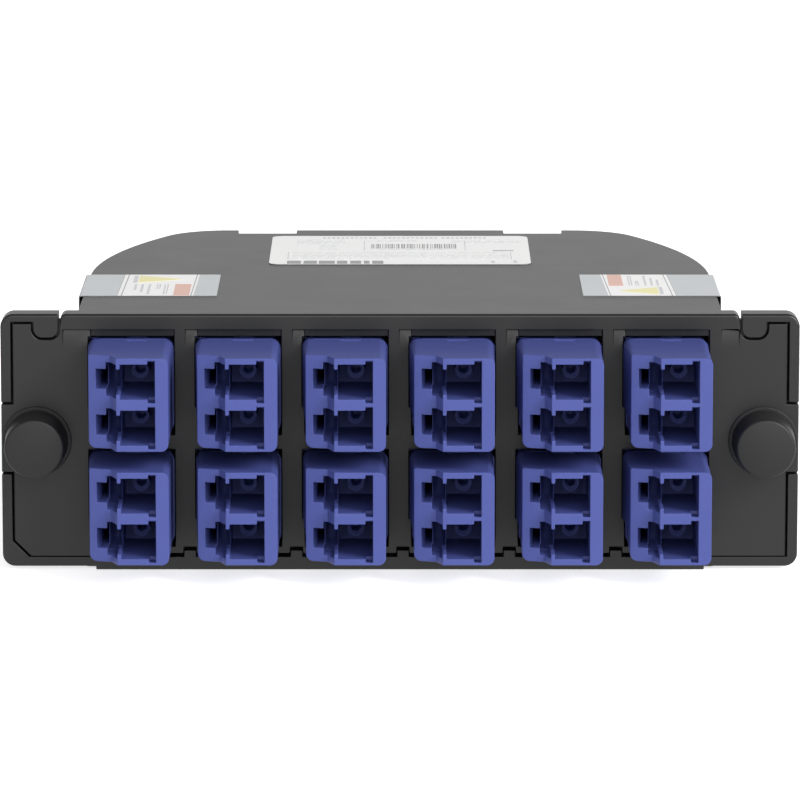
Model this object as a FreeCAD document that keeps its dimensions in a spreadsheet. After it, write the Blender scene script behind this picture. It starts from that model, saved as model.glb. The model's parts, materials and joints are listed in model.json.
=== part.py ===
"""Fibre cassette: 12 LC duplex adapters in front, two MPO adapters behind, and the harness between.

The table called Sizes holds the driving dimensions, in millimetres. Each sub-part is built in the panel's
own frame: x across, y to the rear from the panel's front face, z up from the underside. A last shift along
y puts the origin under the middle of the whole object.
"""
import FreeCAD, Part
import math
import os

import Sketcher

Vector = FreeCAD.Vector
Placement = FreeCAD.Placement
Rotation = FreeCAD.Rotation

# ---------------------------------------------------------------- driving dimensions

SIZES = (
    ("panel_width", 108.7, "across both ears"),
    ("body_height", 35.4, "underside of the body to the top of the panel"),
    ("body_depth", 83.0, "front face of the panel to the rear wall"),
    ("sweep_length", 44.5, "rear wall to where the side walls start to sweep inwards"),
    ("side_sweep", 84.0, "radius of the swept side"),
    ("rear_corner", 10.0, "radius between swept side and rear wall"),
    ("wall", 1.4, "side and rear walls of the tray"),
    ("floor_thick", 1.6, "floor of the tray"),
    ("bottom_round", 1.5, "round along the tray's bottom edge"),
    ("plate_thick", 2.0, "front panel"),
    ("assembly_gap", 0.1, "clearance between moulded pieces that only meet"),
    ("ear_depth", 3.7, "front face to the mounting face of an ear"),
    ("ear_drop", 0.5, "underside of the body to the underside of an ear"),
    ("ear_round", 1.75, "outer corners of an ear"),
    ("rim_width", 1.4, "rim of the ear at its outer side"),
    ("rim_top", 1.05, "rim of the ear along its top"),
    ("lip_height", 1.8, "front lip of the tray, under the panel"),
    ("lip_width", 83.2, "front lip of the tray, across"),
    ("seam", 0.3, "groove between rim and panel"),
    ("body_seam", 0.5, "groove between the front lip and the panel"),
    ("ear_chamfer", 2.2, "keying corner, on the left ear only"),
    ("hook_inset", 4.5, "outer edge of the ear to the hook tab"),
    ("hook_width", 3.35, "hook tab"),
    ("hook_drop", 3.25, "top of the ear to the tip of the hook tab"),
    ("hook_round", 1.2, "corners of the hook tab"),
    ("relief_below", 4.65, "rim cut away below the plunger's axis"),
    ("relief_above", 5.3, "rim cut away above the plunger's axis"),
    ("tab_width", 1.6, "interlocking tab of the front lip"),
    ("tab_rise", 0.9, "interlocking tab above the front lip"),
    ("tab_offset", 0.4, "tab from the middle of the gap between two columns"),
    ("cover_thick", 1.8, "top cover"),
    ("cover_step", 0.6, "top of the panel to the top of the cover"),
    ("flange_thick", 1.4, "top flange of the panel"),
    ("tongue_depth", 1.0, "tongue of the cover inside the walls"),
    ("notch_width", 8.65, "notch in the cover's rear edge"),
    ("notch_depth", 3.3, "notch in the cover's rear edge"),
    ("catch_width", 8.0, "snap catch on the side of the cover"),
    ("catch_place", 28.5, "snap catch behind the front face"),
    ("catch_length", 4.4, "snap catch below the cover"),
    ("catch_thick", 1.1, "arm of the snap catch"),
    ("catch_bite", 0.7, "nose of the snap catch in its window"),
    ("bezel_round", 0.8, "upper corners of the panel's middle"),
    ("column_pitch", 14.56, "adapter columns"),
    ("row_pitch", 15.5, "adapter rows"),
    ("rows_height", 17.75, "middle between the two rows above the underside"),
    ("adapter_width", 10.8, "adapter body"),
    ("adapter_height", 12.7, "adapter body"),
    ("adapter_length", 28.6, "adapter body"),
    ("adapter_reach", 15.0, "adapter in front of the panel"),
    ("adapter_round", 1.0, "edges along the adapter"),
    ("window_side_gap", 0.3, "adapter to window, each side"),
    ("window_end_gap", 0.4, "adapter to window, above and below"),
    ("recess_rise", 1.0, "relief above the upper windows"),
    ("recess_depth", 0.8, "relief above the upper windows"),
    ("ramp_rise", 2.5, "sloped relief beside the upper windows"),
    ("ramp_depth", 0.45, "sloped relief at its deep upper end"),
    ("ramp_width", 1.65, "sloped relief across"),
    ("ramp_inset", 0.35, "first sloped relief from the edge of the panel's middle"),
    ("collar_rise", 0.7, "stop collar beyond the adapter's sides"),
    ("collar_depth", 2.0, "stop collar along the adapter"),
    ("port_pitch", 6.25, "LC port spacing"),
    ("port_offset", 1.3, "port axis from the adapter's middle"),
    ("port_width", 4.7, "LC port across"),
    ("port_height", 4.74, "LC port in height"),
    ("port_floor", 0.6, "wall between front and rear ports"),
    ("relief_width", 1.0, "corner reliefs at the mouth of a port"),
    ("relief_rise", 0.5, "corner reliefs above and below a port"),
    ("relief_depth", 2.1, "corner reliefs along the port"),
    ("nib_width", 0.5, "nibs between port and latch channel"),
    ("nib_opening", 3.4, "height left open between the nibs"),
    ("channel_width", 1.45, "wide part of the latch channel"),
    ("channel_height", 4.56, "wide part of the latch channel"),
    ("slot_width", 1.4, "narrow part of the latch channel"),
    ("slot_height", 2.7, "narrow part of the latch channel"),
    ("slot_taper", 0.5, "narrow part of the channel closes in by this"),
    ("catch_wall", 6.0, "front face of the adapter to the wall behind the wide channel"),
    ("flank_rise", 0.6, "latch flank at the panel beyond the front of the flank"),
    ("flank_below", 2.8, "latch flank's lower end below the adapter's middle"),
    ("step_back", 2.3, "latch side of the front face set back"),
    ("step_ramp", 0.85, "ramp between the set-back side and the front face"),
    ("grip_width", 2.9, "shallow groove at the adapter's top and bottom"),
    ("grip_depth", 0.5, "shallow groove at the adapter's top and bottom"),
    ("holder_radius", 1.15, "sleeve holder outside"),
    ("holder_reach", 4.1, "sleeve holder out of the middle wall"),
    ("sleeve_radius", 0.66, "bore of the alignment sleeve"),
    ("plug_side", 4.5, "LC plug housing, square"),
    ("plug_tail", 5.0, "LC plug housing behind the adapter"),
    ("plug_gap", 0.2, "LC plug from the middle wall"),
    ("boot_length", 4.0, "LC boot"),
    ("boot_side", 3.0, "LC boot at the housing, square"),
    ("latch_thick", 0.8, "LC latch lever"),
    ("latch_width", 2.3, "LC latch lever across"),
    ("fibre_radius", 0.45, "single buffered fibre"),
    ("trunk_radius", 1.1, "trunk unit of twelve fibres"),
    ("comb_depth", 3.0, "comb uprights behind the collars"),
    ("comb_gap", 0.2, "comb uprights to the adapters' sides"),
    ("mpo_inset", 5.76, "end of the flat rear wall to the MPO axis"),
    ("mpo_height", 22.0, "MPO axis above the underside"),
    ("mpo_width", 12.9, "MPO adapter body"),
    ("mpo_rise", 9.4, "MPO adapter body in height"),
    ("mpo_inside", 10.0, "MPO adapter in front of the rear wall's outer face, less the wall"),
    ("mpo_outside", 8.6, "MPO adapter behind the rear wall"),
    ("mpo_collar", 1.0, "MPO collar beyond the body"),
    ("mpo_collar_depth", 2.0, "MPO collar along the body"),
    ("mpo_port_width", 10.5, "MPO port"),
    ("mpo_port_height", 6.9, "MPO port"),
    ("mpo_web", 1.2, "MPO partition"),
    ("mpo_fit", 0.15, "MPO plug in its port, each side"),
    ("mpo_key_width", 3.0, "MPO keyway"),
    ("mpo_key_rise", 0.7, "MPO keyway"),
    ("mt_width", 6.4, "MT ferrule"),
    ("mt_height", 2.5, "MT ferrule"),
    ("mt_length", 8.0, "MT ferrule"),
    ("mt_pin_radius", 0.35, "MT guide pin"),
    ("mt_pin_pitch", 4.6, "MT guide pins"),
    ("mt_fit", 0.15, "MT ferrule in the partition, each side"),
    ("mpo_grip", 5.6, "MPO plug's grip behind the adapter"),
    ("mpo_boot", 5.0, "MPO boot"),
    ("spool_inset", 26.0, "rear wall to the spool axis"),
    ("spool_turn", 9.5, "bend radius of the trunk round the spool"),
    ("spool_height", 26.0, "top of the spool above the underside"),
    ("spool_wall", 1.2, "wall of the spool"),
    ("fanout_width", 6.0, "fan-out block"),
    ("fanout_length", 8.0, "fan-out block"),
    ("fanout_rise", 5.0, "fan-out block"),
    ("fanout_height", 14.0, "fan-out axis above the underside"),
    ("fanout_lead", 6.0, "spool axis to the fan-out block"),
    ("fanout_pitch_x", 1.4, "fibres leaving the fan-out block, across"),
    ("fanout_pitch_z", 1.1, "fibres leaving the fan-out block, in height"),
    ("fan_run", 5.0, "straight fibre at each end of the fan"),
    ("knob_inset", 4.83, "plunger axis from the ear's outer edge"),
    ("knob_height", 17.95, "plunger axis above the underside"),
    ("knob_radius", 4.3, "plunger knob at its back"),
    ("knob_nose", 4.05, "plunger knob at its front"),
    ("knob_length", 6.0, "plunger knob"),
    ("knob_edge", 0.25, "broken front edge of the knob"),
    ("collar_radius", 4.75, "grommet collar"),
    ("collar_thick", 0.45, "grommet collar"),
    ("shank_radius", 3.0, "grommet shank in the ear"),
    ("leg_radius", 2.5, "grommet legs outside"),
    ("leg_length", 5.5, "grommet legs behind the mounting face"),
    ("leg_barb", 0.2, "barb at the tip of the legs"),
    ("leg_slit", 0.7, "slits between the legs"),
    ("shank_room", 0.1, "grommet shank in its hole"),
    ("shaft_radius", 1.45, "plunger shaft"),
    ("shaft_play", 0.05, "plunger shaft in the grommet"),
    ("shaft_bead", 0.3, "bead at the shaft's tip"),
    ("plunger_travel", 4.0, "plunger pulled out"),
    ("label_width", 37.8, "product label"),
    ("label_length", 27.8, "product label"),
    ("label_rear", 6.8, "rear wall to the label"),
    ("label_round", 1.6, "corners of the label"),
    ("film", 0.12, "thickness of label and tapes"),
    ("tape_length", 19.2, "tamper tape along the side"),
    ("tape_place", 19.3, "tamper tape behind the front face"),
    ("tape_inward", 18.6, "tamper tape on the cover"),
    ("tape_down", 13.0, "tamper tape down the side"),
)

COLUMNS = 6
ROWS = 2
PORTS = (1, -1)
SIDES = {"left": -1, "right": 1}

# Expressions that several sub-parts share
PANEL_HALF = "(Sizes.panel_width / 2)"
BODY_HALF = (
    f"({(COLUMNS - 1) / 2} * Sizes.column_pitch + Sizes.adapter_width / 2"
    " + Sizes.collar_rise + Sizes.comb_gap + Sizes.wall)"
)
REAR_FLAT = (
    f"({BODY_HALF} - Sizes.side_sweep + sqrt((Sizes.side_sweep - Sizes.rear_corner)^2"
    " - (Sizes.sweep_length - Sizes.rear_corner)^2))"
)
MPO_X = f"({REAR_FLAT} - Sizes.mpo_inset)"
SPOOL_X = f"({MPO_X} + Sizes.spool_turn)"
SPOOL_Y = "(Sizes.body_depth - Sizes.spool_inset)"
COVER_TOP = "(Sizes.body_height - Sizes.cover_step)"
EAR_INNER_TOP = "(Sizes.body_height - 1.5 * Sizes.bezel_round)"
COVER_SEAT = f"({COVER_TOP} - Sizes.cover_thick)"
FLANGE_UNDER = "(Sizes.body_height - Sizes.flange_thick)"
HOOK_OUTER = f"({PANEL_HALF} - Sizes.hook_inset)"
HOOK_INNER = f"({HOOK_OUTER} - Sizes.hook_width)"
BEZEL_HALF = f"({HOOK_INNER} - Sizes.seam)"
PLATE_BACK = "(Sizes.plate_thick + Sizes.assembly_gap)"
COLLAR_BACK = f"({PLATE_BACK} + Sizes.collar_depth)"
WALL_INSIDE = "(Sizes.body_depth - Sizes.wall)"
MPO_COLLAR_REAR = f"({WALL_INSIDE} - Sizes.seam)"
MPO_COLLAR_FRONT = f"({MPO_COLLAR_REAR} - Sizes.mpo_collar_depth)"
MPO_FRONT = f"({WALL_INSIDE} - Sizes.mpo_inside)"
MPO_REAR = "(Sizes.body_depth + Sizes.mpo_outside)"
MPO_MIDDLE = f"(({MPO_FRONT} + {MPO_REAR}) / 2)"
KNOB_X = f"({PANEL_HALF} - Sizes.knob_inset)"
ADAPTER_FRONT = "(-Sizes.adapter_reach)"
ADAPTER_REAR = "(Sizes.adapter_length - Sizes.adapter_reach)"
FERRULE_MEET = "(Sizes.adapter_length / 2 - Sizes.adapter_reach)"
FANOUT_REAR = f"({SPOOL_Y} - Sizes.fanout_lead)"
FANOUT_FRONT = f"({FANOUT_REAR} - Sizes.fanout_length)"
ORIGIN_SHIFT = f"((Sizes.adapter_reach - {MPO_REAR}) / 2)"

doc = FreeCAD.newDocument("fibre_cassette")


# ---------------------------------------------------------------- helpers


def fill_size_table():
    """Write the driving dimensions into the document's table, one alias a row."""
    table = doc.addObject("Spreadsheet::Sheet", "Sizes")
    for row, (alias, size, note) in enumerate(SIZES, start=1):
        table.set(f"A{row}", alias)
        table.set(f"B{row}", str(size))
        table.setAlias(f"B{row}", alias)
        table.set(f"C{row}", note)
    doc.recompute()
    return table


sizes = fill_size_table()
reader = doc.addObject("Part::Feature", "size_reader")


def value(expression):
    """Number that an expression on the size table gives now."""
    result = reader.evalExpression(str(expression))
    return float(getattr(result, "Value", result))


def new_body(label):
    """Empty body with the shift that takes the panel's frame to the object's."""
    body = doc.addObject("PartDesign::Body", label)
    body.Label = label
    body.setExpression("Placement.Base.y", ORIGIN_SHIFT)
    return body


def new_sketch(body, name, role, offset="0", shift_x="0", shift_y="0"):
    """Sketch on an origin plane of its body, moved along the plane's normal and in the plane."""
    sketch = body.newObject("Sketcher::SketchObject", name)
    plane = next(item for item in body.Origin.OriginFeatures if item.Role == role)
    sketch.AttachmentSupport = (plane, [""])
    sketch.MapMode = "FlatFace"
    sketch.setExpression("AttachmentOffset.Base.x", shift_x)
    sketch.setExpression("AttachmentOffset.Base.y", shift_y)
    sketch.setExpression("AttachmentOffset.Base.z", offset)
    return sketch


def front_sketch(body, name, y="0", x="0", z="0"):
    """Sketch that faces the front, at depth y; its axes run along x and z."""
    return new_sketch(body, name, "XZ_Plane", f"-({y})", x, z)


def lock(sketch, geometry, point, x, y):
    """Hold a point of a sketch at (x, y), both given as expressions."""
    for kind, place in (("DistanceX", x), ("DistanceY", y)):
        index = sketch.addConstraint(Sketcher.Constraint(kind, -1, 1, geometry, point, value(place)))
        sketch.setExpression(f"Constraints[{index}]", str(place))


def corner_arc(before, corner, after, radius):
    """Arc of a rounded corner: entry point, exit point, centre, and whether it turns left."""
    towards = (before - corner).normalize()
    away = (after - corner).normalize()
    half_angle = towards.getAngle(away) / 2
    reach = radius / math.tan(half_angle)
    centre = corner + (towards + away).normalize() * (radius / math.sin(half_angle))
    turns_left = (corner - before).cross(after - corner).z > 0
    return corner + towards * reach, corner + away * reach, centre, turns_left


def outline(sketch, corners):
    """Closed outline through corners (x, y) or (x, y, radius), each value an expression."""
    points = [Vector(value(corner[0]), value(corner[1]), 0) for corner in corners]
    count = len(points)
    arcs = {}
    for i, corner in enumerate(corners):
        if len(corner) == 3:
            before, after = points[i - 1], points[(i + 1) % count]
            arcs[i] = corner_arc(before, points[i], after, value(corner[2]))
    lines = []
    for i in range(count):
        following = (i + 1) % count
        start = arcs[i][1] if i in arcs else points[i]
        end = arcs[following][0] if following in arcs else points[following]
        lines.append(sketch.addGeometry(Part.LineSegment(start, end), False))
    for i, corner in enumerate(corners):
        before, after = lines[i - 1], lines[i]
        if i not in arcs:
            sketch.addConstraint(Sketcher.Constraint("Coincident", before, 2, after, 1))
            lock(sketch, after, 1, corner[0], corner[1])
            continue
        entry, leave, centre, turns_left = arcs[i]
        first, last = (entry, leave) if turns_left else (leave, entry)
        circle = Part.Circle(centre, Vector(0, 0, 1), value(corner[2]))
        angles = [math.atan2(end.y - centre.y, end.x - centre.x) for end in (first, last)]
        arc = sketch.addGeometry(Part.ArcOfCircle(circle, angles[0], angles[1]), False)
        entry_end, leave_end = (1, 2) if turns_left else (2, 1)
        sketch.addConstraint(Sketcher.Constraint("Tangent", before, 2, arc, entry_end))
        sketch.addConstraint(Sketcher.Constraint("Tangent", after, 1, arc, leave_end))
        index = sketch.addConstraint(Sketcher.Constraint("Radius", arc, value(corner[2])))
        sketch.setExpression(f"Constraints[{index}]", str(corner[2]))
        mark = sketch.addGeometry(Part.Point(points[i]), True)
        lock(sketch, mark, 1, corner[0], corner[1])
        sketch.addConstraint(Sketcher.Constraint("PointOnObject", mark, 1, before))
        sketch.addConstraint(Sketcher.Constraint("PointOnObject", mark, 1, after))


def rectangle(sketch, x_low, y_low, x_high, y_high):
    """Upright rectangle between two corners, given as expressions."""
    outline(sketch, ((x_low, y_low), (x_high, y_low), (x_high, y_high), (x_low, y_high)))


def centred_rectangle(sketch, x, y, width, height):
    """Upright rectangle about a centre, given as expressions."""
    half_width, half_height = f"({width}) / 2", f"({height}) / 2"
    rectangle(
        sketch,
        f"{x} - {half_width}",
        f"{y} - {half_height}",
        f"{x} + {half_width}",
        f"{y} + {half_height}",
    )


def circle(sketch, x, y, radius):
    """Circle about a centre, given as expressions."""
    shape = Part.Circle(Vector(value(x), value(y), 0), Vector(0, 0, 1), value(radius))
    item = sketch.addGeometry(shape, False)
    lock(sketch, item, 3, x, y)
    index = sketch.addConstraint(Sketcher.Constraint("Radius", item, value(radius)))
    sketch.setExpression(f"Constraints[{index}]", str(radius))


def pad(body, sketch, length, reverse=False):
    """Pad along the sketch's normal, or against it; a front sketch pads to the rear when reversed."""
    feature = body.newObject("PartDesign::Pad", f"{sketch.Name}_pad")
    feature.Profile = sketch
    feature.setExpression("Length", length)
    feature.Reversed = reverse
    doc.recompute()
    return feature


def rear_pad(body, sketch, length):
    """Pad from a front sketch towards the rear."""
    return pad(body, sketch, length, reverse=True)


def require_cut(feature, before):
    """Stop if a cut took nothing away."""
    doc.recompute()
    if feature.Shape.isNull() or feature.Shape.Volume > before - 1e-3:
        raise RuntimeError(f"{feature.Name} cuts nothing")


def pocket(body, sketch, length, reverse=False):
    """Pocket against the sketch's normal: a front sketch cuts to the rear, a flat one downwards."""
    before = body.Shape.Volume
    feature = body.newObject("PartDesign::Pocket", f"{sketch.Name}_cut")
    feature.Profile = sketch
    feature.setExpression("Length", length)
    feature.Reversed = reverse
    require_cut(feature, before)
    return feature


def turn(body, sketch, kind="PartDesign::Revolution"):
    """Full turn of a half-profile about its sketch's vertical axis, added or taken away."""
    before = body.Shape.Volume if kind.endswith("Groove") else None
    feature = body.newObject(kind, f"{sketch.Name}_turned")
    feature.Profile = sketch
    feature.ReferenceAxis = (sketch, ["V_Axis"])
    feature.Angle = 360
    doc.recompute()
    if before is not None:
        require_cut(feature, before)
    return feature


def round_edges(body, chosen, radius):
    """Fillet the edges of the body's tip that the test picks."""
    doc.recompute()
    tip = body.Tip
    names = [f"Edge{i}" for i, edge in enumerate(tip.Shape.Edges, start=1) if chosen(edge)]
    if not names:
        raise RuntimeError(f"no edge to round on {body.Label}")
    feature = body.newObject("PartDesign::Fillet", f"{body.Name}_round_{len(body.Group)}")
    feature.Base = (tip, names)
    feature.setExpression("Radius", radius)
    doc.recompute()
    return feature


def near(first, second):
    """True for two lengths that agree to a hundredth."""
    return abs(first - second) < 0.01


def group_copies(label, pattern, places):
    """Separate copies of one solid in one node, each moved by a vector in the panel's frame."""
    copies = []
    for place in places:
        copy = pattern.Shape.copy()
        copy.Placement = Placement(place, Rotation())
        copies.append(copy)
    node = doc.addObject("Part::Feature", label)
    node.Label = label
    node.Shape = Part.makeCompound(copies)
    node.Placement = Placement(Vector(0, value(ORIGIN_SHIFT), 0), Rotation())
    return node


def pattern_body(label):
    """Body that is only copied into groups, so it stays in the panel's frame."""
    body = doc.addObject("PartDesign::Body", label)
    body.Label = label
    return body


def column_x(column):
    """Expression for the middle of an adapter column, counted from 0 at the left."""
    return f"({column - (COLUMNS - 1) / 2} * Sizes.column_pitch)"


def row_z(row):
    """Expression for the middle of an adapter row: 0 is the lower row, 1 the upper."""
    return f"(Sizes.rows_height + {row - (ROWS - 1) / 2} * Sizes.row_pitch)"


def port_axes():
    """Axis point (x, z) of every LC port, column by column from the left."""
    axes = []
    for column in range(COLUMNS):
        for row in range(ROWS):
            for port in PORTS:
                x = value(f"{column_x(column)} + Sizes.port_offset")
                z = value(f"{row_z(row)} + {port} * Sizes.port_pitch / 2")
                axes.append((x, z))
    return axes


# ---------------------------------------------------------------- shared outlines


def footprint(sketch, inset, front):
    """D-shaped footprint: straight sides, swept rear quarters, rounded rear corners, flat rear.

    The side, the sweep, the corner and the rear line meet in tangents; inset moves all of them inwards.
    """
    half = value(f"{BODY_HALF} - {inset}")
    rear = value(f"Sizes.body_depth - {inset}")
    sweep = value(f"Sizes.side_sweep - {inset}")
    corner = value(f"Sizes.rear_corner - {inset}")
    start = value(front)
    bend = value("Sizes.body_depth - Sizes.sweep_length")
    sweep_x = half - sweep
    corner_x = value(REAR_FLAT)
    corner_y = rear - corner
    meet_angle = math.atan2(corner_y - bend, corner_x - sweep_x)
    up = Vector(0, 0, 1)
    ends = {}
    for side in (1, -1):
        straight = Part.LineSegment(Vector(side * half, start, 0), Vector(side * half, bend, 0))
        side_line = sketch.addGeometry(straight)
        sweep_circle = Part.Circle(Vector(side * sweep_x, bend, 0), up, sweep)
        corner_circle = Part.Circle(Vector(side * corner_x, corner_y, 0), up, corner)
        if side == 1:
            sweep_span = (0, meet_angle)
            round_span = (meet_angle, math.pi / 2)
            low, high = 1, 2
        else:
            sweep_span = (math.pi - meet_angle, math.pi)
            round_span = (math.pi / 2, math.pi - meet_angle)
            low, high = 2, 1
        sweep_arc = sketch.addGeometry(Part.ArcOfCircle(sweep_circle, *sweep_span))
        round_arc = sketch.addGeometry(Part.ArcOfCircle(corner_circle, *round_span))
        sketch.addConstraint(Sketcher.Constraint("Vertical", side_line))
        sketch.addConstraint(Sketcher.Constraint("Tangent", side_line, 2, sweep_arc, low))
        sketch.addConstraint(Sketcher.Constraint("Tangent", sweep_arc, high, round_arc, low))
        lock(sketch, side_line, 1, f"{side} * ({BODY_HALF} - {inset})", front)
        radii = ((sweep_arc, f"Sizes.side_sweep - {inset}"), (round_arc, f"Sizes.rear_corner - {inset}"))
        for arc, radius in radii:
            index = sketch.addConstraint(Sketcher.Constraint("Radius", arc, value(radius)))
            sketch.setExpression(f"Constraints[{index}]", radius)
        index = sketch.addConstraint(Sketcher.Constraint("DistanceY", -1, 1, side_line, 2, bend))
        sketch.setExpression(f"Constraints[{index}]", "Sizes.body_depth - Sizes.sweep_length")
        ends[side] = (side_line, round_arc, high, Vector(side * corner_x, rear, 0))
    rear_line = sketch.addGeometry(Part.LineSegment(ends[1][3], ends[-1][3]))
    sketch.addConstraint(Sketcher.Constraint("Tangent", ends[1][1], ends[1][2], rear_line, 1))
    sketch.addConstraint(Sketcher.Constraint("Coincident", ends[-1][1], ends[-1][2], rear_line, 2))
    index = sketch.addConstraint(Sketcher.Constraint("DistanceY", -1, 1, rear_line, 1, rear))
    sketch.setExpression(f"Constraints[{index}]", f"Sizes.body_depth - {inset}")
    front_line = sketch.addGeometry(Part.LineSegment(Vector(-half, start, 0), Vector(half, start, 0)))
    sketch.addConstraint(Sketcher.Constraint("Coincident", ends[-1][0], 1, front_line, 1))
    sketch.addConstraint(Sketcher.Constraint("Coincident", ends[1][0], 1, front_line, 2))


def ear_face(sketch, side, gap, inner, top_inner):
    """Outline of the panel's part in an ear, inside the rim and round the hook tab.

    gap is the clearance to the rim, 0 for the recess itself; inner is where the outline ends towards the
    middle, and top_inner is its height there.
    """
    def across(expression):
        return f"{side} * ({expression})"

    floor = f"Sizes.lip_height + ({gap}) / 3"
    rim = f"({PANEL_HALF} - Sizes.rim_width - ({gap}))"
    outer = PANEL_HALF if gap != "0" else f"({PANEL_HALF} + 1)"
    relief_low = f"Sizes.knob_height - Sizes.relief_below + ({gap})"
    relief_high = f"Sizes.knob_height + Sizes.relief_above - ({gap})"
    top = f"Sizes.body_height - Sizes.rim_top - ({gap})"
    hook_outer = f"({HOOK_OUTER} + ({gap}))"
    hook_inner = f"({HOOK_INNER} - ({gap}))"
    hook_tip = f"Sizes.body_height - Sizes.hook_drop - ({gap})"
    hook_round = f"Sizes.hook_round + ({gap})"
    corners = [(across(inner), floor)]
    if side < 0:
        corners.append((across(f"{rim} - Sizes.ear_chamfer"), floor))
        corners.append((across(rim), f"{floor} + Sizes.ear_chamfer"))
    else:
        corners.append((across(rim), floor))
    corners += [
        (across(rim), relief_low),
        (across(outer), relief_low),
        (across(outer), relief_high),
        (across(rim), relief_high),
        (across(rim), top),
        (across(hook_outer), top),
        (across(hook_outer), hook_tip, hook_round),
        (across(hook_inner), hook_tip, hook_round),
        (across(hook_inner), top_inner),
        (across(inner), top_inner),
    ]
    outline(sketch, corners)


# ---------------------------------------------------------------- housing


def make_front_panel():
    """Moulded panel: ears inside the rims, 12 windows, relief above each column, top flange."""
    body = new_body("front_panel")
    middle = front_sketch(body, "panel_middle")
    corners = (
        (f"-{BEZEL_HALF}", "Sizes.lip_height + Sizes.body_seam"),
        (BEZEL_HALF, "Sizes.lip_height + Sizes.body_seam"),
        (BEZEL_HALF, "Sizes.body_height", "Sizes.bezel_round"),
        (f"-{BEZEL_HALF}", "Sizes.body_height", "Sizes.bezel_round"),
    )
    outline(middle, corners)
    rear_pad(body, middle, "Sizes.plate_thick")
    for name, side in SIDES.items():
        face = front_sketch(body, f"panel_ear_{name}")
        ear_face(face, side, "Sizes.seam", "Sizes.lip_width / 2", EAR_INNER_TOP)
        rear_pad(body, face, "Sizes.plate_thick")
    flange = front_sketch(body, "panel_flange")
    flange_corners = (
        (f"-{BEZEL_HALF}", FLANGE_UNDER),
        (BEZEL_HALF, FLANGE_UNDER),
        (BEZEL_HALF, "Sizes.body_height", "Sizes.bezel_round"),
        (f"-{BEZEL_HALF}", "Sizes.body_height", "Sizes.bezel_round"),
    )
    outline(flange, flange_corners)
    rear_pad(body, flange, "Sizes.ear_depth")

    windows = front_sketch(body, "panel_windows")
    for column in range(COLUMNS):
        for row in range(ROWS):
            centred_rectangle(
                windows,
                column_x(column),
                row_z(row),
                "Sizes.adapter_width + 2 * Sizes.window_side_gap",
                "Sizes.adapter_height + 2 * Sizes.window_end_gap",
            )
    pocket(body, windows, "Sizes.plate_thick")
    flanks = front_sketch(body, "panel_flank_notches")
    for column in range(COLUMNS):
        for row in range(ROWS):
            rectangle(
                flanks,
                f"{column_x(column)} - Sizes.adapter_width / 2 - Sizes.flank_rise - Sizes.shaft_play",
                f"{row_z(row)} - Sizes.flank_below - Sizes.shaft_play",
                f"{column_x(column)} - Sizes.adapter_width / 2",
                f"{row_z(row)} + Sizes.adapter_height / 2 + Sizes.window_end_gap",
            )
    pocket(body, flanks, "Sizes.plate_thick")

    reliefs = front_sketch(body, "panel_reliefs")
    upper_edge = f"{row_z(1)} + Sizes.adapter_height / 2 + Sizes.window_end_gap"
    half_window = "(Sizes.adapter_width / 2 + Sizes.window_side_gap)"
    for column in range(COLUMNS):
        rectangle(
            reliefs,
            f"{column_x(column)} - {half_window}",
            f"{upper_edge} - Sizes.window_end_gap",
            f"{column_x(column)} + {half_window}",
            f"{upper_edge} + Sizes.recess_rise",
        )
    pocket(body, reliefs, "Sizes.recess_depth")

    ramp_top = f"({upper_edge} + Sizes.recess_rise)"
    ramp_corners = (("0", f"{ramp_top} - Sizes.ramp_rise"), ("0", ramp_top), ("Sizes.ramp_depth", ramp_top))
    ramp_ends = [(f"(Sizes.ramp_inset - {BEZEL_HALF})", f"({column_x(0)} - {half_window})")]
    for column in range(1, COLUMNS):
        recess_side = f"({column_x(column)} - {half_window})"
        ramp_ends.append((f"({recess_side} - Sizes.ramp_width)", recess_side))
    ramp_ends.append((f"({BEZEL_HALF} - Sizes.ramp_width - Sizes.hook_width / 4)", BEZEL_HALF))
    for number, (low, high) in enumerate(ramp_ends):
        ramp = new_sketch(body, f"panel_ramp_{number}", "YZ_Plane", low)
        outline(ramp, ramp_corners)
        pocket(body, ramp, f"{high} - {low}", reverse=True)

    notches = front_sketch(body, "panel_notches")
    for gap in range(COLUMNS - 1):
        centre = f"{column_x(gap + 0.5)} + Sizes.tab_offset"
        half_notch = "(Sizes.tab_width / 2 + Sizes.assembly_gap)"
        rectangle(
            notches,
            f"{centre} - {half_notch}",
            "Sizes.lip_height",
            f"{centre} + {half_notch}",
            "Sizes.lip_height + Sizes.body_seam + Sizes.tab_rise",
        )
    pocket(body, notches, "Sizes.plate_thick")

    holes = front_sketch(body, "panel_grommet_holes")
    for side in SIDES.values():
        circle(holes, f"{side} * {KNOB_X}", "Sizes.knob_height", "Sizes.shank_radius + Sizes.shank_room")
    pocket(body, holes, "Sizes.plate_thick")
    return body


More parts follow.
